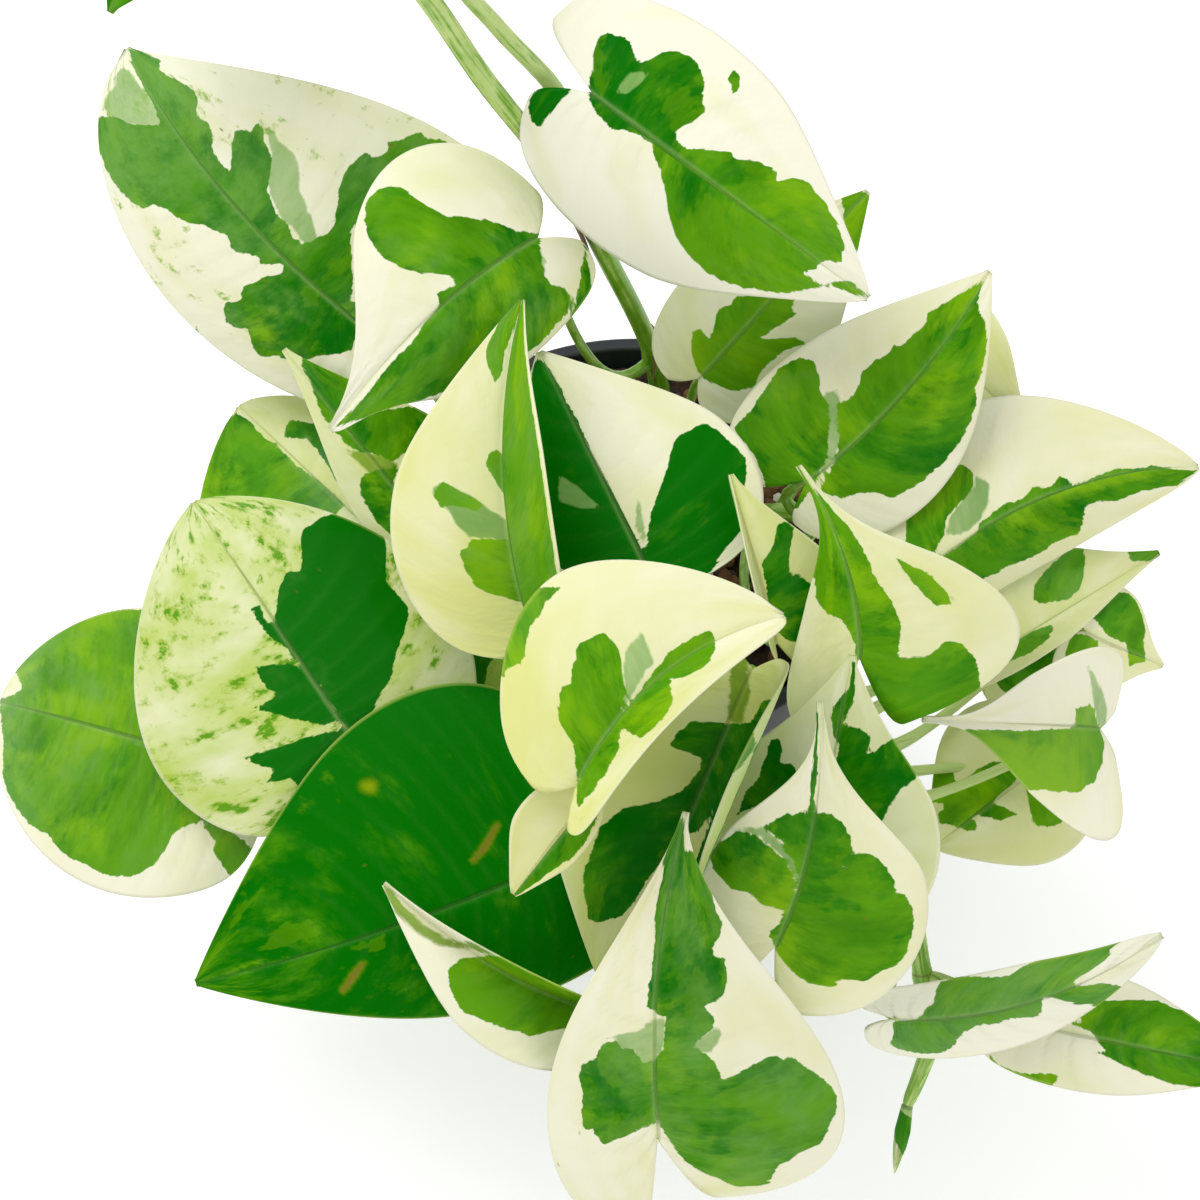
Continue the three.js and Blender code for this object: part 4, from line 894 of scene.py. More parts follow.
def stem_finish():
    """Stem and leaf stalk: green with pale streaks along it, brown at the rings."""
    f = Finish("fleshy_stem", Roughness=0.42, Coat_Weight=0.1, Coat_Roughness=0.3)
    run = f.run()
    streak = f.noise(f.place(run, 1.0, 0.06, 1.0), STEM_STREAK, 3.0, 0.6)
    cloud = f.noise(run, STEM_CLOUD, 3.0, 0.6)
    aged = (streak * 1.5 + cloud - 0.9).step(0.0, 0.8)
    tone = f.mix(aged, STEM_GREEN, STEM_AGED)
    pale = f.mix(streak, STEM_CREAM, STEM_LIME)
    paleness = f.mark("pale") + (streak - 0.5) * 2.2 + (cloud - 0.5) * 1.2
    colour = f.mix(paleness.step(0.2, 0.8), tone, pale)
    ring = f.mark("ring")
    colour = f.mix((ring + (cloud - 0.5) * 0.8).step(0.45, 0.95), colour, RING_BROWN)
    height = streak + ring * 0.8 + f.noise(run, STEM_PORES, 3.0, 0.6) * 0.3
    return f.done(Base_Color=colour, Normal=f.ridge(height, 0.0003, 0.5))


def pot_finish():
    """Moulded nursery plastic: blue-black, with faint upright draw lines and dusty scuffs."""
    f = Finish("charcoal_plastic", Specular_IOR_Level=0.5)
    here = f.here()
    grain = f.noise(here, PLASTIC_GRAIN, 3.0, 0.6)
    drawn = f.noise(f.place(here, 1.0, 1.0, 0.05), DRAW_LINES, 3.0, 0.6)
    dust = f.noise(here, DUST, 5.0, 0.65)
    scuff = (dust * 1.2 + drawn * 0.5 - 1.0).step(0.0, 0.5)
    colour = f.mix(scuff * 0.5, PLASTIC_DARK, PLASTIC_DUSTY)
    rough = 0.42 + grain * 0.1 + scuff * 0.2
    height = grain * 0.4 + drawn * 0.6
    return f.done(Base_Color=colour, Roughness=rough, Normal=f.ridge(height, 0.0002, 0.35))


def soil_finish():
    """Damp potting mix: dark brown crumbs with lighter fibres, and painted shade in the gaps
    between them.
    """
    f = Finish("potting_mix", Roughness=0.92)
    here = f.here()
    crumb = f.cells(here, CRUMBS, "3D")
    cloud = f.noise(here, SOIL_CLOUD, 5.0, 0.7)
    fibre = f.noise(f.place(here, 1.0, 0.2, 1.0), FIBRES, 3.0, 0.6)
    colour = f.mix(cloud * 1.4 - 0.3, SOIL_DARK, SOIL_LIGHT)
    colour = f.mix((fibre - 0.62).step(0.0, 0.1) * 0.6, colour, FIBRE)
    # Painted shade: near black in the gaps between crumbs.
    colour = f.mix(crumb.step(0.5, 0.95) * 0.7, colour, CREVICE_SHADE)
    height = f.noise(here, SOIL_GRIT, 5.0, 0.7) - crumb * 0.7
    return f.done(Base_Color=colour, Normal=f.ridge(height, 0.0012, 0.9))


def chip_finish():
    """Bits on the soil: bark browns and white expanded grains, each with its own shade."""
    f = Finish("bark_and_grains", Roughness=0.85)
    cloud = f.noise(f.here(), CHIP_CLOUD, 4.0, 0.65)
    shade = f.mark("shade")
    bark = f.mix(shade * 1.2 + (cloud - 0.5), BARK_DARK, BARK_LIGHT)
    grain = f.mix(cloud, GRAIN_WHITE, GRAIN_GREY)
    colour = f.mix((shade - 0.9).step(0.0, 0.02), bark, grain)
    return f.done(Base_Color=colour, Normal=f.ridge(cloud, 0.0006, 0.8))


def husk_finish():
    """Dry sheaths and air roots: papery tan with darker lines along them."""
    f = Finish("dry_husk", Roughness=0.8)
    line = f.noise(f.place(f.run(), 1.0, 0.08, 1.0), HUSK_LINES, 3.0, 0.6)
    colour = f.mix(line * 1.3 - 0.15, HUSK_BROWN, HUSK_TAN)
    return f.done(Base_Color=colour, Normal=f.ridge(line, 0.0002, 0.7))


def floor_finish():
    """White studio floor."""
    f = Finish("studio_white", Base_Color=(*FLOOR_WHITE, 1.0), Roughness=0.9,
               Specular_IOR_Level=0.1, Emission_Color=(1.0, 1.0, 1.0, 1.0),
               Emission_Strength=FLOOR_GLOW)
    return f.done()


BLADE = leaf_finish()
STEM = stem_finish()
PLASTIC = pot_finish()
SOIL = soil_finish()
CHIPS = chip_finish()
HUSK = husk_finish()

# ---- Meshes ----


def unit(vectors):
    """Vectors divided by their lengths."""
    return vectors / np.maximum(np.linalg.norm(vectors, axis=-1, keepdims=True), 1e-12)


def turns(count):
    """Angles that cut a full turn into equal steps."""
    return np.linspace(0, 2 * math.pi, count, endpoint=False)


def bell(offset, width):
    """1 at no offset, fading as e to the power of minus the square of offset over width."""
    return np.exp(-(offset / width) ** 2)


def run_of(line):
    """Length of a line up to each of its points."""
    return np.concatenate([[0], np.cumsum(np.linalg.norm(np.diff(line, axis=0), axis=1))])


def sheet_faces(rows, columns, first=0, wrap=False):
    """Faces of a grid of rows and columns numbered row by row: each joins a point, its neighbour
    in the row and the two after them in the next row; wrap joins the last column to the first."""
    spans = columns if wrap else columns - 1
    row, column = np.meshgrid(np.arange(rows - 1), np.arange(spans), indexing="ij")
    right = (column + 1) % columns
    a, b = row * columns + column, row * columns + right
    return (first + np.stack([a, b, b + columns, a + columns], -1)).reshape(-1, 4)


def add_piece(name, body, points, faces, finishes, uv=None, marks=None, parts=None,
              node=None):
    """One piece from its points and faces, with its map, its marks and each face's finish."""
    mesh = bpy.data.meshes.new(name)
    corners = [face for block in faces for face in block.tolist()]
    mesh.from_pydata(points.reshape(-1, 3).tolist(), [], corners)
    for finish in finishes:
        mesh.materials.append(finish)
    if parts is not None:
        mesh.polygons.foreach_set("material_index", parts.astype(np.int32))
    mesh.polygons.foreach_set("use_smooth", np.ones(len(mesh.polygons), bool))
    if uv is not None:
        corner = np.empty(len(mesh.loops), np.int32)
        mesh.loops.foreach_get("vertex_index", corner)
        layer = mesh.uv_layers.new(name="vein")
        layer.data.foreach_set("uv", uv.reshape(-1, 2)[corner].ravel())
    for label, values in (marks or {}).items():
        mark = mesh.attributes.new(label, "FLOAT", "POINT")
        mark.data.foreach_set("value", values.ravel().astype(np.float32))
    mesh.update()
    piece = bpy.data.objects.new(name, mesh)
    bpy.context.scene.collection.objects.link(piece)
    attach(piece, body)
    if node:
        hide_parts(node)
    return piece


def along_line(line, places):
    """Points of a line at shares of its length."""
    run = run_of(line)
    wanted = np.asarray(places) * run[-1]
    return np.stack([np.interp(wanted, run, line[:, i]) for i in range(3)], -1)


def spline(points, places):
    """Centripetal Catmull-Rom curve through points, at shares of its length: on each span the
    cubic whose end slopes weigh the neighbouring spans by the square roots of their lengths."""
    p = np.array(points, float)
    p = np.concatenate([2 * p[:1] - p[1:2], p, 2 * p[-1:] - p[-2:-1]])
    gap = np.sqrt(np.linalg.norm(np.diff(p, axis=0), axis=1))
    t = np.linspace(0, len(points) - 1, SPAN_SAMPLES * (len(points) - 1) + 1)
    k = np.minimum(t.astype(int), len(points) - 2)
    w = (t - k)[:, None]
    a, b, c, d = p[k], p[k + 1], p[k + 2], p[k + 3]
    g0, g1, g2 = gap[k][:, None], gap[k + 1][:, None], gap[k + 2][:, None]
    start = ((b - a) / g0 - (c - a) / (g0 + g1) + (c - b) / g1) * g1
    end = ((c - b) / g1 - (d - b) / (g1 + g2) + (d - c) / g2) * g1
    square = 3 * (c - b) - 2 * start - end
    cube = 2 * (b - c) + start + end
    return along_line(b + start * w + square * w**2 + cube * w**3, places)


def bezier(a, b, c, d, places):
    """Cubic curve of two ends and two handles, at shares of its length."""
    t = np.linspace(0, 1, 2 * SPAN_SAMPLES + 1)[:, None]
    line = (1 - t) ** 3 * a + 3 * (1 - t) ** 2 * t * b + 3 * (1 - t) * t**2 * c + t**3 * d
    return along_line(line, places)


def frames(line):
    """Two directions square to a line at each point: one square to a fixed axis as well, and the
    one that completes them."""
    way = unit(np.gradient(line, axis=0))
    spread = np.abs(unit(line[-1] - line[0]))
    axis = np.eye(3)[np.argmin(spread)]
    side = unit(np.cross(way, axis))
    return side, np.cross(way, side)


def tube(line, radius, sides, first=0):
    """Closed tube round a line: each ring is the point plus the radius times cos of the angle
    along one square direction and sin along the other; a point closes each end."""
    side, other = frames(line)
    angle = turns(sides)
    radius = np.broadcast_to(radius, (len(line), sides))[..., None]
    rings = line[:, None] + radius * (np.cos(angle)[None, :, None] * side[:, None]
                                      + np.sin(angle)[None, :, None] * other[:, None])
    run = run_of(line)
    uv = np.stack(np.broadcast_arrays(angle[None] * radius[:, :1, 0], run[:, None]), -1)
    points = np.concatenate([rings.reshape(-1, 3), line[:1], line[-1:]])
    uv = np.concatenate([uv.reshape(-1, 2), [[0, 0]], [[0, run[-1]]]])
    walls = sheet_faces(len(line), sides, first, wrap=True)
    ring = np.arange(sides)
    after = (ring + 1) % sides
    low, high = first + len(line) * sides, first + len(line) * sides + 1
    top = first + (len(line) - 1) * sides
    caps = np.stack([np.concatenate([first + after, top + ring]),
                     np.concatenate([first + ring, top + after]),
                     np.repeat([low, high], sides)], -1)
    return points, [walls, caps], uv


def outline_distance(places, outline):
    """Distance of picture places to a closed outline, above 0 inside: the least distance to its
    sides, and inside where a level ray crosses an odd count of them."""
    a = np.array(outline, float)
    b = np.roll(a, -1, axis=0)
    p = places.reshape(-1, 1, 2)
    side = b - a
    t = np.clip(((p - a) * side).sum(-1) / np.maximum((side**2).sum(-1), TINY), 0, 1)
    distance = np.linalg.norm(p - a - t[..., None] * side, axis=-1).min(1)
    x, y = p[..., 0], p[..., 1]
    rise = np.where(side[:, 1] == 0, TINY, side[:, 1])
    level = a[:, 0] + (y - a[:, 1]) / rise * side[:, 0]
    crossed = ((a[:, 1] > y) != (b[:, 1] > y)) & (x < level)
    inside = crossed.sum(1) % 2 == 1
    return np.where(inside, distance, -distance).reshape(places.shape[:-1])


def leaf_axes(leaf):
    """Directions along, across and up from the blade at its base: the way from base to tip, and
    the two that are square to it once the upright one is turned about it by the roll."""
    along = unit(np.subtract(leaf["tip"], leaf["base"]))
    level = unit(np.array([0, 0, 1]) - along[2] * along)
    roll = math.radians(leaf["roll"])
    up = level * math.cos(roll) + np.cross(along, level) * math.sin(roll)
    return along, np.cross(along, up), up


def leaf_length(leaf):
    """Length of the arched midrib whose ends are the base and the tip: the straight distance
    times half the arch over its sine."""
    half = math.radians(leaf["arch"]) / 2
    return np.linalg.norm(np.subtract(leaf["tip"], leaf["base"])) * half / math.sin(half)


def blade(leaf):
    """Upper face of a leaf on a grid of columns u from -1 to 1 and rows v from base to tip.
    Flat: the margin is the width times a power bulge, slimmed at the tip, plus a little at the
    base, and cross lines bend back into the lobes. Bent: across, a circle arc of the curl that
    starts at the fold; along, a circle arc of the arch; the midline bows by the lean."""
    length = leaf_length(leaf)
    widths = np.array(leaf["half"])
    columns = 2 * max(LEAST_COLUMNS, round(widths.max() / LEAF_STEP)) + 1
    rows = max(LEAST_ROWS, round(length / LEAF_STEP))
    u = np.linspace(-1, 1, columns)[None, :]
    v = np.linspace(0, 1, rows)[:, None]
    right = (u > 0).astype(int)
    width = widths[right]
    side_of = lambda key: np.array(leaf[key], float)[right]
    back = side_of("lobe") * length
    w = v**2 * (1 + ROW_CROWDING) / (v + ROW_CROWDING)
    belly = side_of("belly")
    widest = BULGE_POWER / (BULGE_POWER + belly)
    bulge = (w / widest) ** BULGE_POWER * ((1 - w) / (1 - widest)) ** belly
    q = np.clip((w - TAIL_START) / TAIL_SHARE, 0, 1)
    slim = 1 - leaf["tail"] * q**2 * (3 - 2 * q)
    sinus = SINUS_SHARE * width * (1 - w) ** SINUS_FADE
    margin = width * bulge * slim + sinus + TIP_HALF_WIDTH * w
    bend = (1 - v) ** LOBE_FADE
    reach = np.abs(u)
    share = reach * (1 - bend) + np.sin(reach * math.pi / 2) * bend
    midrib = length * v**MIDRIB_CROWDING
    x = reach * margin
    y = midrib + share * (-back + (length + back) * w - midrib)
    arch = math.radians(leaf["arch"])
    slope = arch / 2 - arch * y / length
    forward = length / arch * (math.sin(arch / 2) - np.sin(slope))
    height = length / arch * (np.cos(slope) - math.cos(arch / 2))
    fold = np.radians(side_of("fold"))
    curl = side_of("curl")
    curl = np.radians(np.where(curl == 0, LEAST_CURL, curl))
    turn = fold + curl * x / width
    soft = (np.sqrt(x**2 + MIDRIB_SOFT**2) - MIDRIB_SOFT) / np.maximum(x, TINY)
    lateral = width / curl * (np.sin(turn) - np.sin(fold))
    rise = -width / curl * (np.cos(turn) - np.cos(fold)) * soft
    t = y / length
    bow = 4 * leaf["lean"] * t * (1 - np.maximum(t, 0))
    along, across, up = leaf_axes(leaf)
    seed = sum(leaf["base"]) * SEED_SCALE
    vein_at = length * (v - VEIN_SWEEP * reach**VEIN_BEND)
    wave = WAVE_HEIGHT * reach**WAVE_POWER * np.sin(vein_at / WAVE_LENGTH + seed) * (1 - w)
    swell = np.sin(2 * math.pi * vein_at / VEIN_SPACING + seed)
    swell = VEIN_SWELL * swell * np.sin(math.pi * reach) ** SWELL_ROUND
    rise = rise + wave + swell - GROOVE_DEPTH * bell(x, MIDRIB_WIDTH)
    lift = lambda amount, axis: amount[..., None] * axis
    sign = np.where(u > 0, 1.0, -1.0)
    top = (np.array(leaf["base"]) + lift(sign * lateral + bow, across)
           + lift(forward - rise * np.sin(slope), along) + lift(height + rise * np.cos(slope), up))
    grid = dict(u=u + 0 * v, w=w + 0 * u, x=x, length=length, vein=vein_at, seed=seed,
                right=np.broadcast_to(right, x.shape))
    return top, grid


def joined(a, b):
    """Distance to two patches taken as one: the larger distance, plus where they are within
    PATCH_JOIN of each other the square of the rest's share of it times a quarter of it."""
    near = np.clip(1 - np.abs(a - b) / PATCH_JOIN, 0, 1)
    return np.maximum(a, b) + near**2 * PATCH_JOIN / 4


def sector_distance(grid, half, start, end, inner, outer):
    """Millimetres inside a band of a blade between two side veins and two shares of its half
    width, with wavy sides and round corners: the sum of the distances to the ends and to the
    rims, less the root of the sum of their squares and SECTOR_ROUND's."""
    out = np.abs(grid["u"])
    sway = SECTOR_SWAY * np.sin(SECTOR_SWAYS * out + grid["seed"])
    on = grid["vein"] / grid["length"] + sway
    limit = outer
    if outer < LIMIT_OPEN:
        limit = outer + LIMIT_SWAY * np.sin(LIMIT_SWAYS * on + grid["seed"])
    ends = 1000 * grid["length"] * np.minimum(on - start, end - on)
    rims = 1000 * half * np.minimum(out - inner, limit - out)
    return ends + rims - np.sqrt(ends**2 + rims**2 + SECTOR_ROUND**2)


def leaf_marks(name, leaf, top, grid):
    """Marks of a blade: for each kind of patch the largest of its outlines' distances in
    millimetres, and masks of veins, midrib, edge and brown tip."""
    places, millimetres = seen_at(top)
    kinds = ("green", "pale", "lime", "sheen", "gold", "scorch")
    marks = {kind: np.full(grid["x"].shape, -FAR) for kind in kinds}
    half = np.array(leaf["half"])[grid["right"]]
    found = [(kind, side, outline_distance(places, outline) * millimetres)
             for kind, side, outline in PATCHES.get(name, [])]
    found += [(kind, side, sector_distance(grid, half, *band))
              for kind, side, *band in SECTORS.get(name, [])]
    for kind, side, distance in found:
        if side != BOTH:
            distance = np.where(grid["right"] == side, distance, -FAR)
        marks[kind] = joined(marks[kind], distance)
    for kind in ("green", "pale", "lime", "sheen"):
        marks[kind] = np.clip(marks[kind], -FAR, FAR)
    phase = grid["vein"] / VEIN_SPACING
    rib = bell((phase - np.round(phase)) * RIB_NARROW, 1)
    rib = rib * np.clip(RIB_REACH - np.abs(grid["u"]), 0, 1)
    marks["veins"] = RIB_TONE * rib * look(name, "veins")
    marks["midrib"] = bell(grid["x"], MIDRIB_LINE) * look(name, "rib")
    marks["midrib"] = marks["midrib"] * (1 - MIDRIB_PALING * grid["w"])
    marks["edge"] = bell(half * (1 - np.abs(grid["u"])), RIM_LINE)
    tip = np.clip((grid["w"] - TIP_START) / TIP_FADE, 0, 1) * TIP_SCORCH
    marks["scorch"] = np.maximum(tip, np.clip(1 + marks["scorch"] / SCORCH_FADE, 0, 1))
    marks["gold"] = np.clip(1 + marks["gold"] / GOLD_FADE, 0, 1)
    for kind in FROM_BASE_TO_TIP:
        at_base, at_tip = np.broadcast_to(look(name, kind), 2)
        marks[kind] = at_base + (at_tip - at_base) * grid["w"]
    return marks


# ---- Stems ----

STEM_CURVES = {name: spline(np.array(stem["route"]) / 1000, np.linspace(0, 1, STEM_SAMPLES))
               for name, stem in STEMS.items()}


def on_stem(name, places):
    """Points of a stem at shares of its length."""
    return along_line(STEM_CURVES[name], places)


def stem_share(name, place):
    """Share of a stem's length whose point shows nearest to a picture place."""
    places, _ = seen_at(STEM_CURVES[name])
    return np.argmin(np.linalg.norm(places - place, axis=1)) / (len(places) - 1)


def add_stem(name, stem):
    """A stem: a tube that swells by a fifth at each leaf's joint and narrows a little between."""
    stem = {**PLAIN_STEM, **stem}
    line = STEM_CURVES[name]
    run = run_of(line)[-1]
    share = np.linspace(0, 1, round(run / STEM_STEP))
    joints = [leaf["on"][1] for leaf in LEAVES.values() if leaf["on"][0] == name]
    gap = np.min([np.abs(share - joint) for joint in joints], axis=0) * run
    swell = JOINT_SWELL * bell(gap, JOINT_REACH) - BETWEEN_JOINTS
    to_end = (1 - share) * run
    fluted = 1 + FLUTE_DEPTH * np.cos(FLUTES * turns(STEM_SIDES))[None]
    ending = stem["close"] * bell(to_end, END_REACH) + stem["slim"] * bell(to_end, SLIM_REACH)
    radius = stem["radius"] * (1 + swell - ending)[:, None] * fluted
    points, faces, uv = tube(along_line(line, share), radius, STEM_SIDES)
    spread = lambda values, last: np.append(np.repeat(values, STEM_SIDES), [values[0], last])
    low, high = stem["pale"]
    marks = dict(pale=spread(low + (high - low) * share, high),
                 ring=spread(RING_TONE * bell(gap - RING_PLACE, RING_WIDTH), 0))
    add_piece(name + "_skin", "root", points, faces, [STEM], uv, marks, None, name)


for stem_name, stem in STEMS.items():
    add_stem(stem_name, stem)

# ---- Leaves ----


def stalk_line(leaf):
    """Route of a leaf stalk: from the stem, square to it, to just under the blade's base; a
    cubic with its handles out of the stem and down from the blade, or through its own points."""
    stem, place = leaf["on"]
    radius = STEMS[stem]["radius"]
    joint, beyond = on_stem(stem, [place, min(place + NEARBY, 1.0)])
    before = on_stem(stem, [max(place - NEARBY, 0.0)])[0]
    direction = unit(beyond - before)
    along, _, up = leaf_axes(leaf)
    end = np.array(leaf["base"]) + along * STALK_INSET - up * STALK_DEPTH
    reach = np.linalg.norm(end - joint)
    away = (np.array(leaf["via"][0]) if "via" in leaf else end) - joint
    out = unit(away - away @ direction * direction)
    places = np.linspace(0, 1, STALK_STEPS)
    if "via" in leaf:
        return spline([joint + out * (radius + GAP), *leaf["via"], end], places)
    start = joint + out * (radius - GAP)
    last = end - up * STALK_REACH * reach - along * STALK_SLANT * reach
    return bezier(start, start + out * STALK_REACH * reach, last, end, places)


def add_leaf(name, leaf):
    """A leaf: its blade and its stalk. The lower face lies square under the upper one, by a
    thickness that falls to the edge's with u to the power BODY_POWER and is more at the midrib;
    the stalk narrows evenly to the blade and swells at its foot."""
    top, grid = blade(leaf)
    rows, columns = grid["x"].shape
    normal = unit(np.cross(np.gradient(top, axis=1), np.gradient(top, axis=0)))
    if (normal.mean((0, 1)) @ leaf_axes(leaf)[2]) < 0:
        normal = -normal
    body = LEAF_EDGE + (LEAF_BODY - LEAF_EDGE) * (1 - np.abs(grid["u"]) ** BODY_POWER)
    body = body + MIDRIB_DEEP * bell(grid["x"], MIDRIB_WIDTH) * (1 - grid["w"]) ** MIDRIB_FADE
    bottom = top - normal * body[..., None]
    count = rows * columns
    faces = sheet_faces(rows, columns)
    rim = np.concatenate([np.arange(columns), np.arange(1, rows) * columns + columns - 1,
                          (rows - 1) * columns + np.arange(columns - 2, -1, -1),
                          np.arange(rows - 2, 0, -1) * columns])
    after = np.roll(rim, -1)
    wall = np.stack([rim, rim + count, after + count, after], -1)
    out = np.abs(grid["u"]) * max(leaf["half"]) + grid["right"] * MAP_HALVES
    uv = np.stack([grid["vein"] + grid["seed"] * MAP_SEED, out], -1).reshape(-1, 2)
    t = np.linspace(0, 1, STALK_STEPS)[:, None]
    thick = STALK * look(name, "thick") * (1.0 - STALK_TAPER * t)
    thick = thick + SHEATH_SWELL * bell(t, SHEATH_SHARE)
    stalk, stalk_faces, stalk_uv = tube(stalk_line(leaf), thick, STALK_SIDES, 2 * count)
    blade_faces = [faces, faces[:, ::-1] + count, wall]
    none, stalk_none = np.zeros(count), np.zeros(len(stalk))
    full = {}
    for kind, values in leaf_marks(name, leaf, top, grid).items():
        full[kind] = np.concatenate([values.ravel(), values.ravel(), stalk_none])
    full["under"] = np.concatenate([none, none + 1, stalk_none])
    full["pale"][2 * count:] = look(name, "stalk")
    shares = np.append(np.repeat(t, STALK_SIDES), [0, 1])
    full["ring"] = np.concatenate([none, none, FOOT_TONE * bell(shares, FOOT_SHARE)])
    parts = np.concatenate([np.zeros(sum(len(f) for f in blade_faces)),
                            np.ones(sum(len(f) for f in stalk_faces))])
    add_piece(name + "_leaf", "root",
              np.concatenate([top.reshape(-1, 3), bottom.reshape(-1, 3), stalk]),
              blade_faces + stalk_faces, [BLADE, STEM], np.concatenate([uv, uv, stalk_uv]),
              full, parts, name)


for leaf_name, leaf in LEAVES.items():
    add_leaf(leaf_name, {**PLAIN_SHAPE, **leaf})

# ---- Dry sheaths and air roots ----


def husk_tube(start, end, turn, width):
    """An old sheath: a long flat oval that lies on the main stem and peels off with the cube of
    the place along it, its width a half sine of that place to the power HUSK_ROUND."""
    t = np.linspace(0, 1, HUSK_STEPS)
    a, b = stem_share("stem_main", start), stem_share("stem_main", end)
    line = on_stem("stem_main", a + (b - a) * t)
    side, other = frames(line)
    away = math.cos(turn) * side + math.sin(turn) * other
    lift = STEMS["stem_main"]["radius"] + HUSK_LIFT + HUSK_PEEL * t**3
    angle = turns(HUSK_SIDES)
    flat = 1 / np.sqrt((np.cos(angle - turn) / HUSK_FLAT) ** 2 + np.sin(angle - turn) ** 2)
    spindle = np.sin(math.pi * (t * HUSK_SPAN + HUSK_FIRST)) ** HUSK_ROUND
    radius = width * spindle[:, None] * flat[None] + HUSK_THICK
    return line + away * lift[:, None], radius, HUSK_SIDES


def root_tube(name, share, length, heading):
    """An air root: it leaves its stem level along its heading and bends down with the square of
    the place along it, and thins to its tip."""
    t = np.linspace(0, 1, ROOT_STEPS)[:, None]
    out = np.array([math.cos(heading), math.sin(heading), ROOT_DIP])
    aside = np.array([math.sin(heading), -math.cos(heading)])
    bend = np.append(ROOT_TURN * aside, ROOT_FALL)
    level = STEMS[name]["radius"] * ROOT_START + length * t * (1 - ROOT_SLOW * t)
    line = on_stem(name, [share])[0] + out * level + bend * length * t**2 * ROOT_BEND
    return line, ROOT_THICK * (1 - ROOT_TAPER * t) + ROOT_END, ROOT_SIDES


def add_husks_and_roots():
    """All the sheaths and air roots as one piece; each root heads a seeded random way."""
    rng = np.random.default_rng(ROOT_SEED)
    tubes = [husk_tube(*husk) for husk in HUSKS]
    tubes += [root_tube(*root, rng.uniform(0, 2 * math.pi)) for root in ROOTS]
    blocks, faces, maps, first = [], [], [], 0
    for line, radius, sides in tubes:
        points, walls, uv = tube(line, radius, sides, first)
        blocks.append(points)
        faces.extend(walls)
        maps.append(uv)
        first += len(points)
    add_piece("husks_and_air_roots", "root", np.concatenate(blocks), faces, [HUSK],
              np.concatenate(maps))


add_husks_and_roots()

# ---- The rolled young leaf: its radius and its marks, by the share of its length ----

NEW_LEAF = dict(base=(0.0594, -0.1169, 0.0474), tip=(0.0576, -0.126, 0.031), radius=0.0018)
ROLL_STEPS, ROLL_SIDES, ROLL_TURN, ROLL_LAP = 60, 40, 0.35, 0.14
ROLL_PROFILE = ([0, 0.1, 0.35, 0.6, 0.85, 0.97, 1], [0.76, 0.84, 1.04, 0.85, 0.45, 0.14, 0.02])
ROLL_GREEN = ([0, 0.05, 0.14, 0.35, 0.6, 0.85], [-3, -1, 0.9, 0.7, -0.5, -3])
ROLL_PALE = ([0, 0.1, 0.25, 0.6, 1], [3, 1.5, 0.4, -0.2, -0.8])
ROLL_ENDS = dict(green=[-3, -3], pale=[3, -1], lime=[-1, -1])
ROLL_TWIST, GREEN_SWING, PALE_SWING = 2.5, 1.4, 0.6
LIME_TURN, LIME_SWING, LIME_LOW = 9, 0.6, 0.4
ROLL_LOOK = dict(sheen=-FAR, gold=0, veins=0, midrib=0, edge=0, scorch=0, under=0, fresh=0.6,
                 painted_sheen=0.1, butter_and_painted_light=0.3, mottle=0, tint=0, shade=0, gloss=0.1, fleck=0)


def add_new_leaf():
    """A young leaf rolled up: rings on the straight line from base to tip whose radius follows a
    spindle, with one edge of the roll lying over the next turn."""
    base, tip = np.array(NEW_LEAF["base"]), np.array(NEW_LEAF["tip"])
    t = np.linspace(0, 1, ROLL_STEPS)[:, None]
    around = np.linspace(0, 1, ROLL_SIDES, endpoint=False)[None]
    seam = (around + ROLL_TURN * t) % 1
    radius = NEW_LEAF["radius"] * np.interp(t, *ROLL_PROFILE) * (1 - ROLL_LAP + ROLL_LAP * seam)
    points, faces, uv = tube(base + t * (tip - base), radius, ROLL_SIDES)
    turned = np.sin(2 * math.pi * seam + ROLL_TWIST * t)
    marks = dict(green=np.interp(t, *ROLL_GREEN) + GREEN_SWING * turned,
                 pale=np.interp(t, *ROLL_PALE) - PALE_SWING * turned,
                 lime=np.sin(seam * LIME_TURN) * LIME_SWING - LIME_LOW)
    marks = {kind: np.append(values, ROLL_ENDS[kind]) for kind, values in marks.items()}
    for kind, value in ROLL_LOOK.items():
        marks[kind] = np.full(len(points), float(value))
    add_piece("rolled_leaf", "root", points, faces, [BLADE], uv, marks, None, "new_leaf")


add_new_leaf()

# ---- Pot and soil ----


def wall_radius(height):
    """Outer radius of the pot's wall, which widens evenly from its foot to under its lip."""
    return POT_FOOT + (POT_RIM - LIP_OVERHANG - POT_FOOT) / POT_HEIGHT * height


def rings_of(radius, height, sides):
    """Rings round the vertical axis, of given radii and heights."""
    angle = turns(sides)
    radius, height = np.array(radius)[:, None], np.array(height)[:, None]
    return np.stack(np.broadcast_arrays(radius * np.cos(angle), radius * np.sin(angle), height), -1)


def end_caps(rows, sides):
    """The faces that close the first and the last of the rings."""
    ring = np.arange(sides)
    return ring[None], ((rows - 1) * sides + ring)[None]


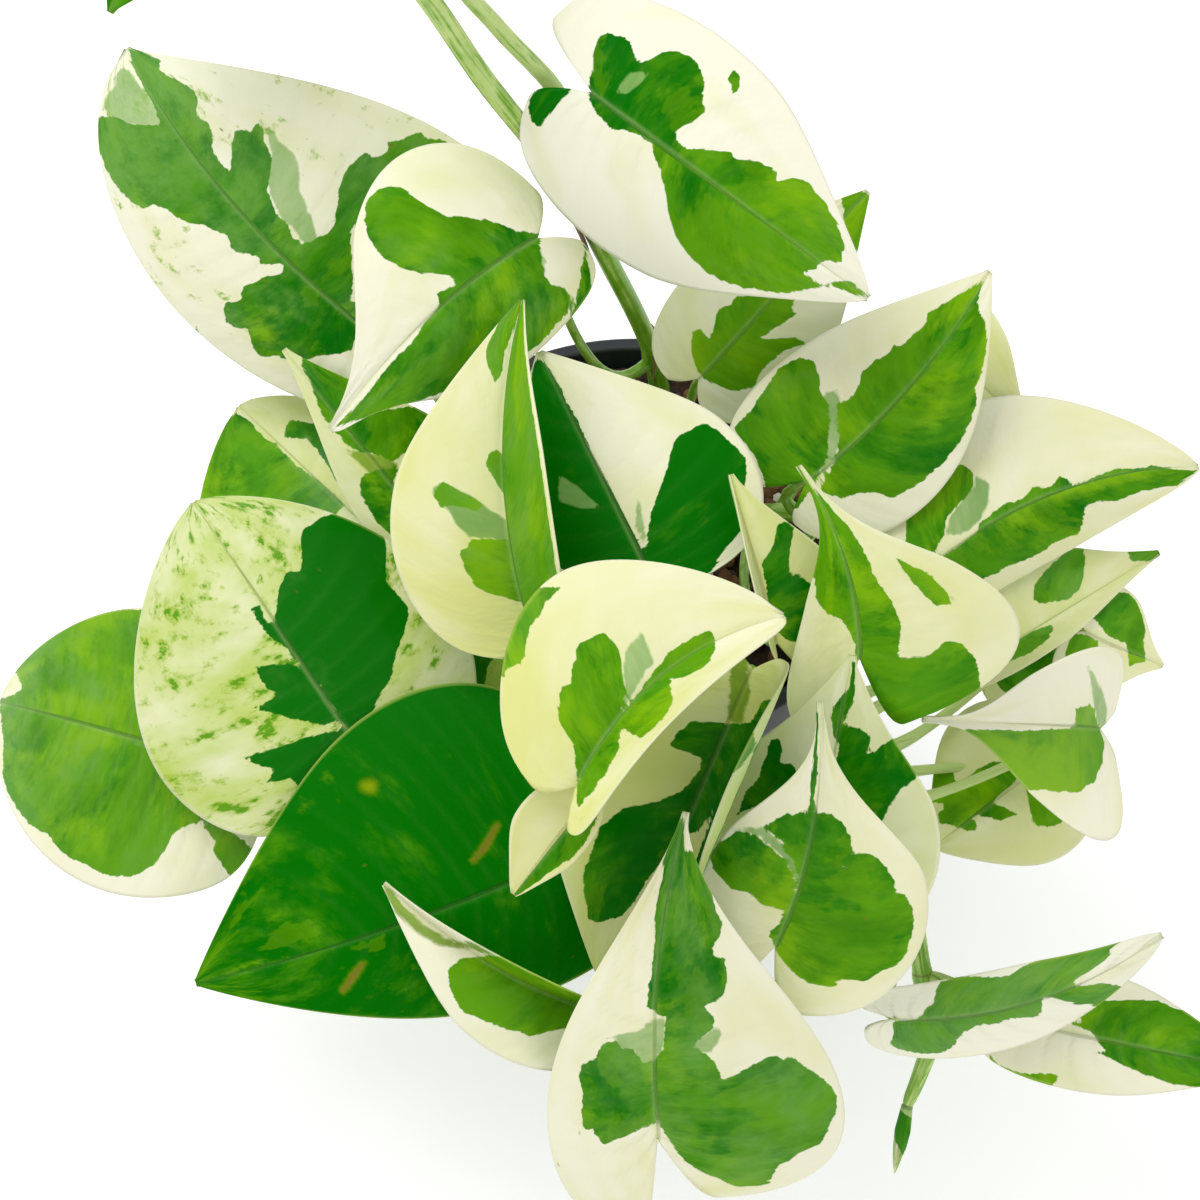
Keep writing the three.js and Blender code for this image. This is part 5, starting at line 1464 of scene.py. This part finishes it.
def bored(pot):
    """The pot's mesh with its drain holes, cut by one drill for each round the drain ring."""
    ring = np.pad(rings_of([DRAIN_HOLE_RADIUS], [0], DRAIN_HOLE_SIDES)[0][:, :2], ((0, 0), (0, 1)))
    cuts, faces = [], []
    for k in range(DRAIN_HOLES):
        turn = 2 * math.pi * (k + 0.5) / DRAIN_HOLES
        middle = np.array([DRAIN_RING * math.cos(turn), DRAIN_RING * math.sin(turn), 0])
        ends = middle + np.array([[0, 0, -DRILL_OVER], [0, 0, DRILL_OVER + POT_FLOOR]])
        cuts.append((ends[:, None] + ring[None]).reshape(-1, 3))
        first = 2 * DRAIN_HOLE_SIDES * k
        low, high = end_caps(2, DRAIN_HOLE_SIDES)
        faces += sheet_faces(2, DRAIN_HOLE_SIDES, first, wrap=True).tolist()
        faces += (first + low[:, ::-1]).tolist() + (first + high).tolist()
    drill = bpy.data.meshes.new("drill")
    drill.from_pydata(np.concatenate(cuts).tolist(), [], faces)
    cutter = bpy.data.objects.new("drill", drill)
    bpy.context.scene.collection.objects.link(cutter)
    cut = pot.modifiers.new("drain_holes", "BOOLEAN")
    cut.operation, cut.object, cut.solver = "DIFFERENCE", cutter, "EXACT"
    bpy.context.view_layer.update()
    graph = bpy.context.evaluated_depsgraph_get()
    mesh = bpy.data.meshes.new_from_object(pot.evaluated_get(graph))
    pot.modifiers.clear()
    bpy.data.objects.remove(cutter)
    return mesh


def add_pot():
    """Pot: a turned profile of floor, sloping wall and lip, with holes cut through its floor."""
    r, h, t = EDGE_ROUND, POT_HEIGHT, POT_WALL
    lip, under, mouth = POT_RIM, h - LIP_HEIGHT, POT_RIM - LIP_OVERHANG
    outside = [(radius, 0.0) for radius in (POT_CENTRE, *UNDERSIDE_RINGS, POT_FOOT - 2 * r)]
    outside += [(POT_FOOT - 0.5 * r, 0.2 * r), (POT_FOOT, r)]
    outside += [(wall_radius(z), z) for z in (*OUTER_HEIGHTS, under - BELOW_LIP, under)]
    outside += [(lip - r, under), (lip - 0.3 * r, under + 0.3 * r), (lip, under + r)]
    rim = [(lip, h - r), (lip - 0.3 * r, h - 0.3 * r), (lip - r, h), (mouth, h),
           (mouth - t + r, h), (mouth - t + 0.2 * r, h - 0.3 * r), (mouth - t, h - r)]
    inside = [(wall_radius(z) - t, z) for z in (under, *INNER_HEIGHTS, POT_FLOOR + 2 * r)]
    inmost = wall_radius(POT_FLOOR) - t - 1.5 * r
    base = [(radius, POT_FLOOR) for radius in (inmost, FLOOR_RING, POT_CENTRE)]
    profile = np.array(outside + rim + inside + base)
    points = rings_of(profile[:, 0], profile[:, 1], POT_SIDES)
    low, high = end_caps(len(profile), POT_SIDES)
    faces = [sheet_faces(len(profile), POT_SIDES, wrap=True), low[:, ::-1], high]
    pot = add_piece("pot_shell", "root", points, faces, [PLASTIC], node="pot")
    pot.data = bored(pot)
    ease = pot.modifiers.new("shading", "WEIGHTED_NORMAL")
    ease.keep_sharp = True


add_pot()


def mound(y):
    """Rise of the soil towards the back: MOUND times the place's share of the way there, to the
    power MOUND_POWER."""
    return MOUND * np.clip(y / POT_RIM, 0, 1) ** MOUND_POWER


def add_soil():
    """Soil: a turned skin whose top is raised by two sizes of cloudy noise, closed underneath."""
    edge, foot = (wall_radius(z) - POT_WALL - SOIL_GAP for z in (SOIL_TOP, SOIL_FOOT))
    share = np.linspace(SOIL_CENTRE, 1, SOIL_RINGS)
    flat = rings_of(share * edge, 0 * share, SOIL_SIDES)
    spots = flat.reshape(-1, 3)
    clouds = lambda scale: np.array([noise.noise(p * scale) for p in spots]).reshape(flat.shape[:2])
    hump = LUMP_HEIGHT * clouds(LUMPS_A_METRE) + CRUMB_HEIGHT * clouds(CRUMBS_A_METRE)
    hump = hump - SOIL_DIP * share[:, None] ** DIP_POWER
    flat[..., 2] = SOIL_TOP + mound(flat[..., 1]) + hump
    heights = np.linspace(SOIL_TOP - SOIL_SHOULDER, SOIL_FOOT, SOIL_DOWN)
    down = rings_of(np.linspace(edge, foot, SOIL_DOWN), heights, SOIL_SIDES)
    points = np.concatenate([flat, down])
    low, high = end_caps(len(points), SOIL_SIDES)
    faces = [sheet_faces(len(points), SOIL_SIDES, wrap=True)[:, ::-1], low, high[:, ::-1]]
    add_piece("soil_bed", "root", points, faces, [SOIL], node="soil")


add_soil()


def add_chips():
    """Loose bits: a squashed lump each, two rings and two poles, stretched, turned and set on the
    soil by seeded numbers; about one in nine is a white grain, and the rest are bark."""
    rng = np.random.default_rng(CHIP_SEED)
    count = CHIP_COUNT
    distance = CHIP_REACH * np.sqrt(rng.random(count))
    bearing = rng.random(count) * 2 * math.pi
    white = rng.random(count) < WHITE_SHARE
    size = np.where(white, rng.uniform(*WHITE_SIZES, count), rng.uniform(*BARK_SIZES, count))
    squash = np.stack([np.ones(count), rng.uniform(*BARK_WIDE, count),
                       rng.uniform(*BARK_TALL, count)], -1)
    squash[white] = rng.uniform(*WHITE_SHAPE, (white.sum(), 3))
    ring = turns(CHIP_SIDES)
    lower = np.stack([np.cos(ring), np.sin(ring), LUMP_LOW + 0 * ring], -1)
    ring = ring + LUMP_TWIST
    upper = np.stack([np.cos(ring), np.sin(ring), LUMP_HIGH + 0 * ring], -1)
    lump = np.concatenate([[[0, 0, -LUMP_POLE]], lower, upper, [[0, 0, LUMP_POLE]]])
    corner = lump[None] * (1 + rng.uniform(-LUMP_ROUGH, LUMP_ROUGH, (count, len(lump), 1)))
    corner = corner * squash[:, None] * size[:, None, None]
    tilt = rng.normal(0, CHIP_TILT, count)[:, None]
    turn = (rng.random(count) * 2 * math.pi)[:, None]
    x, y, z = corner[..., 0], corner[..., 1], corner[..., 2]
    x, z = x * np.cos(tilt) + z * np.sin(tilt), z * np.cos(tilt) - x * np.sin(tilt)
    x, y = x * np.cos(turn) - y * np.sin(turn), x * np.sin(turn) + y * np.cos(turn)
    across = (distance * np.cos(bearing))[:, None]
    back = (distance * np.sin(bearing))[:, None]
    points = np.stack([x + across, y + back, z + (SOIL_TOP + mound(back) + CHIP_LIFT)], -1)
    a = np.arange(CHIP_SIDES)
    b = (a + 1) % CHIP_SIDES
    lower_a, lower_b, upper_a, upper_b = 1 + a, 1 + b, 1 + CHIP_SIDES + a, 1 + CHIP_SIDES + b
    bottom, peak = 0 * a, 0 * a + len(lump) - 1
    one = np.concatenate([np.stack(corners, -1) for corners in (
        (bottom, lower_b, lower_a), (lower_a, lower_b, upper_a), (lower_b, upper_b, upper_a),
        (upper_a, upper_b, peak))])
    faces = (one[None] + len(lump) * np.arange(count)[:, None, None]).reshape(-1, 3)
    shade = np.where(white, 1.0, rng.uniform(*BARK_SHADES, count))
    marks = dict(shade=np.repeat(shade, len(lump)))
    add_piece("soil_chips", "root", points, [faces], [CHIPS], None, marks)


add_chips()

# ---- Stage and light ----

FLOOR_REACH = 3.0
WORLD_LIGHT, WORLD_COLOUR = 0.62, (1.0, 1.0, 1.0, 1.0)
MIDDLE = (0.0, -0.03, 0.12)
SOFTBOXES = dict(key=dict(place=(-0.55, 0.25, 1.15), size=0.8, power=9.0),
                 fill=dict(place=(0.7, -0.7, 0.8), size=0.9, power=3.0))

floor_mesh = bpy.data.meshes.new("floor")
corners = [(x * FLOOR_REACH, y * FLOOR_REACH, 0) for x, y in ((-1, -1), (1, -1), (1, 1), (-1, 1))]
floor_mesh.from_pydata(corners, [], [(0, 1, 2, 3)])
floor_mesh.materials.append(floor_finish())
floor = bpy.data.objects.new("floor", floor_mesh)
bpy.context.scene.collection.objects.link(floor)


def add_softbox(name, place, size, power):
    """A square soft light that faces the middle of the plant."""
    light = bpy.data.lights.new(name, "AREA")
    light.shape = "SQUARE"
    light.size = size
    light.energy = power
    lamp = bpy.data.objects.new(name, light)
    lamp.location = place
    way = unit(np.subtract(MIDDLE, place))
    lamp.rotation_euler = (math.acos(-way[2]), 0, math.atan2(way[0], -way[1]) + math.pi)
    bpy.context.scene.collection.objects.link(lamp)


for light_name, softbox in SOFTBOXES.items():
    add_softbox(light_name, **softbox)
world = bpy.data.worlds.new("studio")
world.use_nodes = True
sky = world.node_tree.nodes["Background"].inputs
sky["Color"].default_value = WORLD_COLOUR
sky["Strength"].default_value = WORLD_LIGHT
bpy.context.scene.world = world
bpy.context.scene.view_settings.view_transform = "Standard"
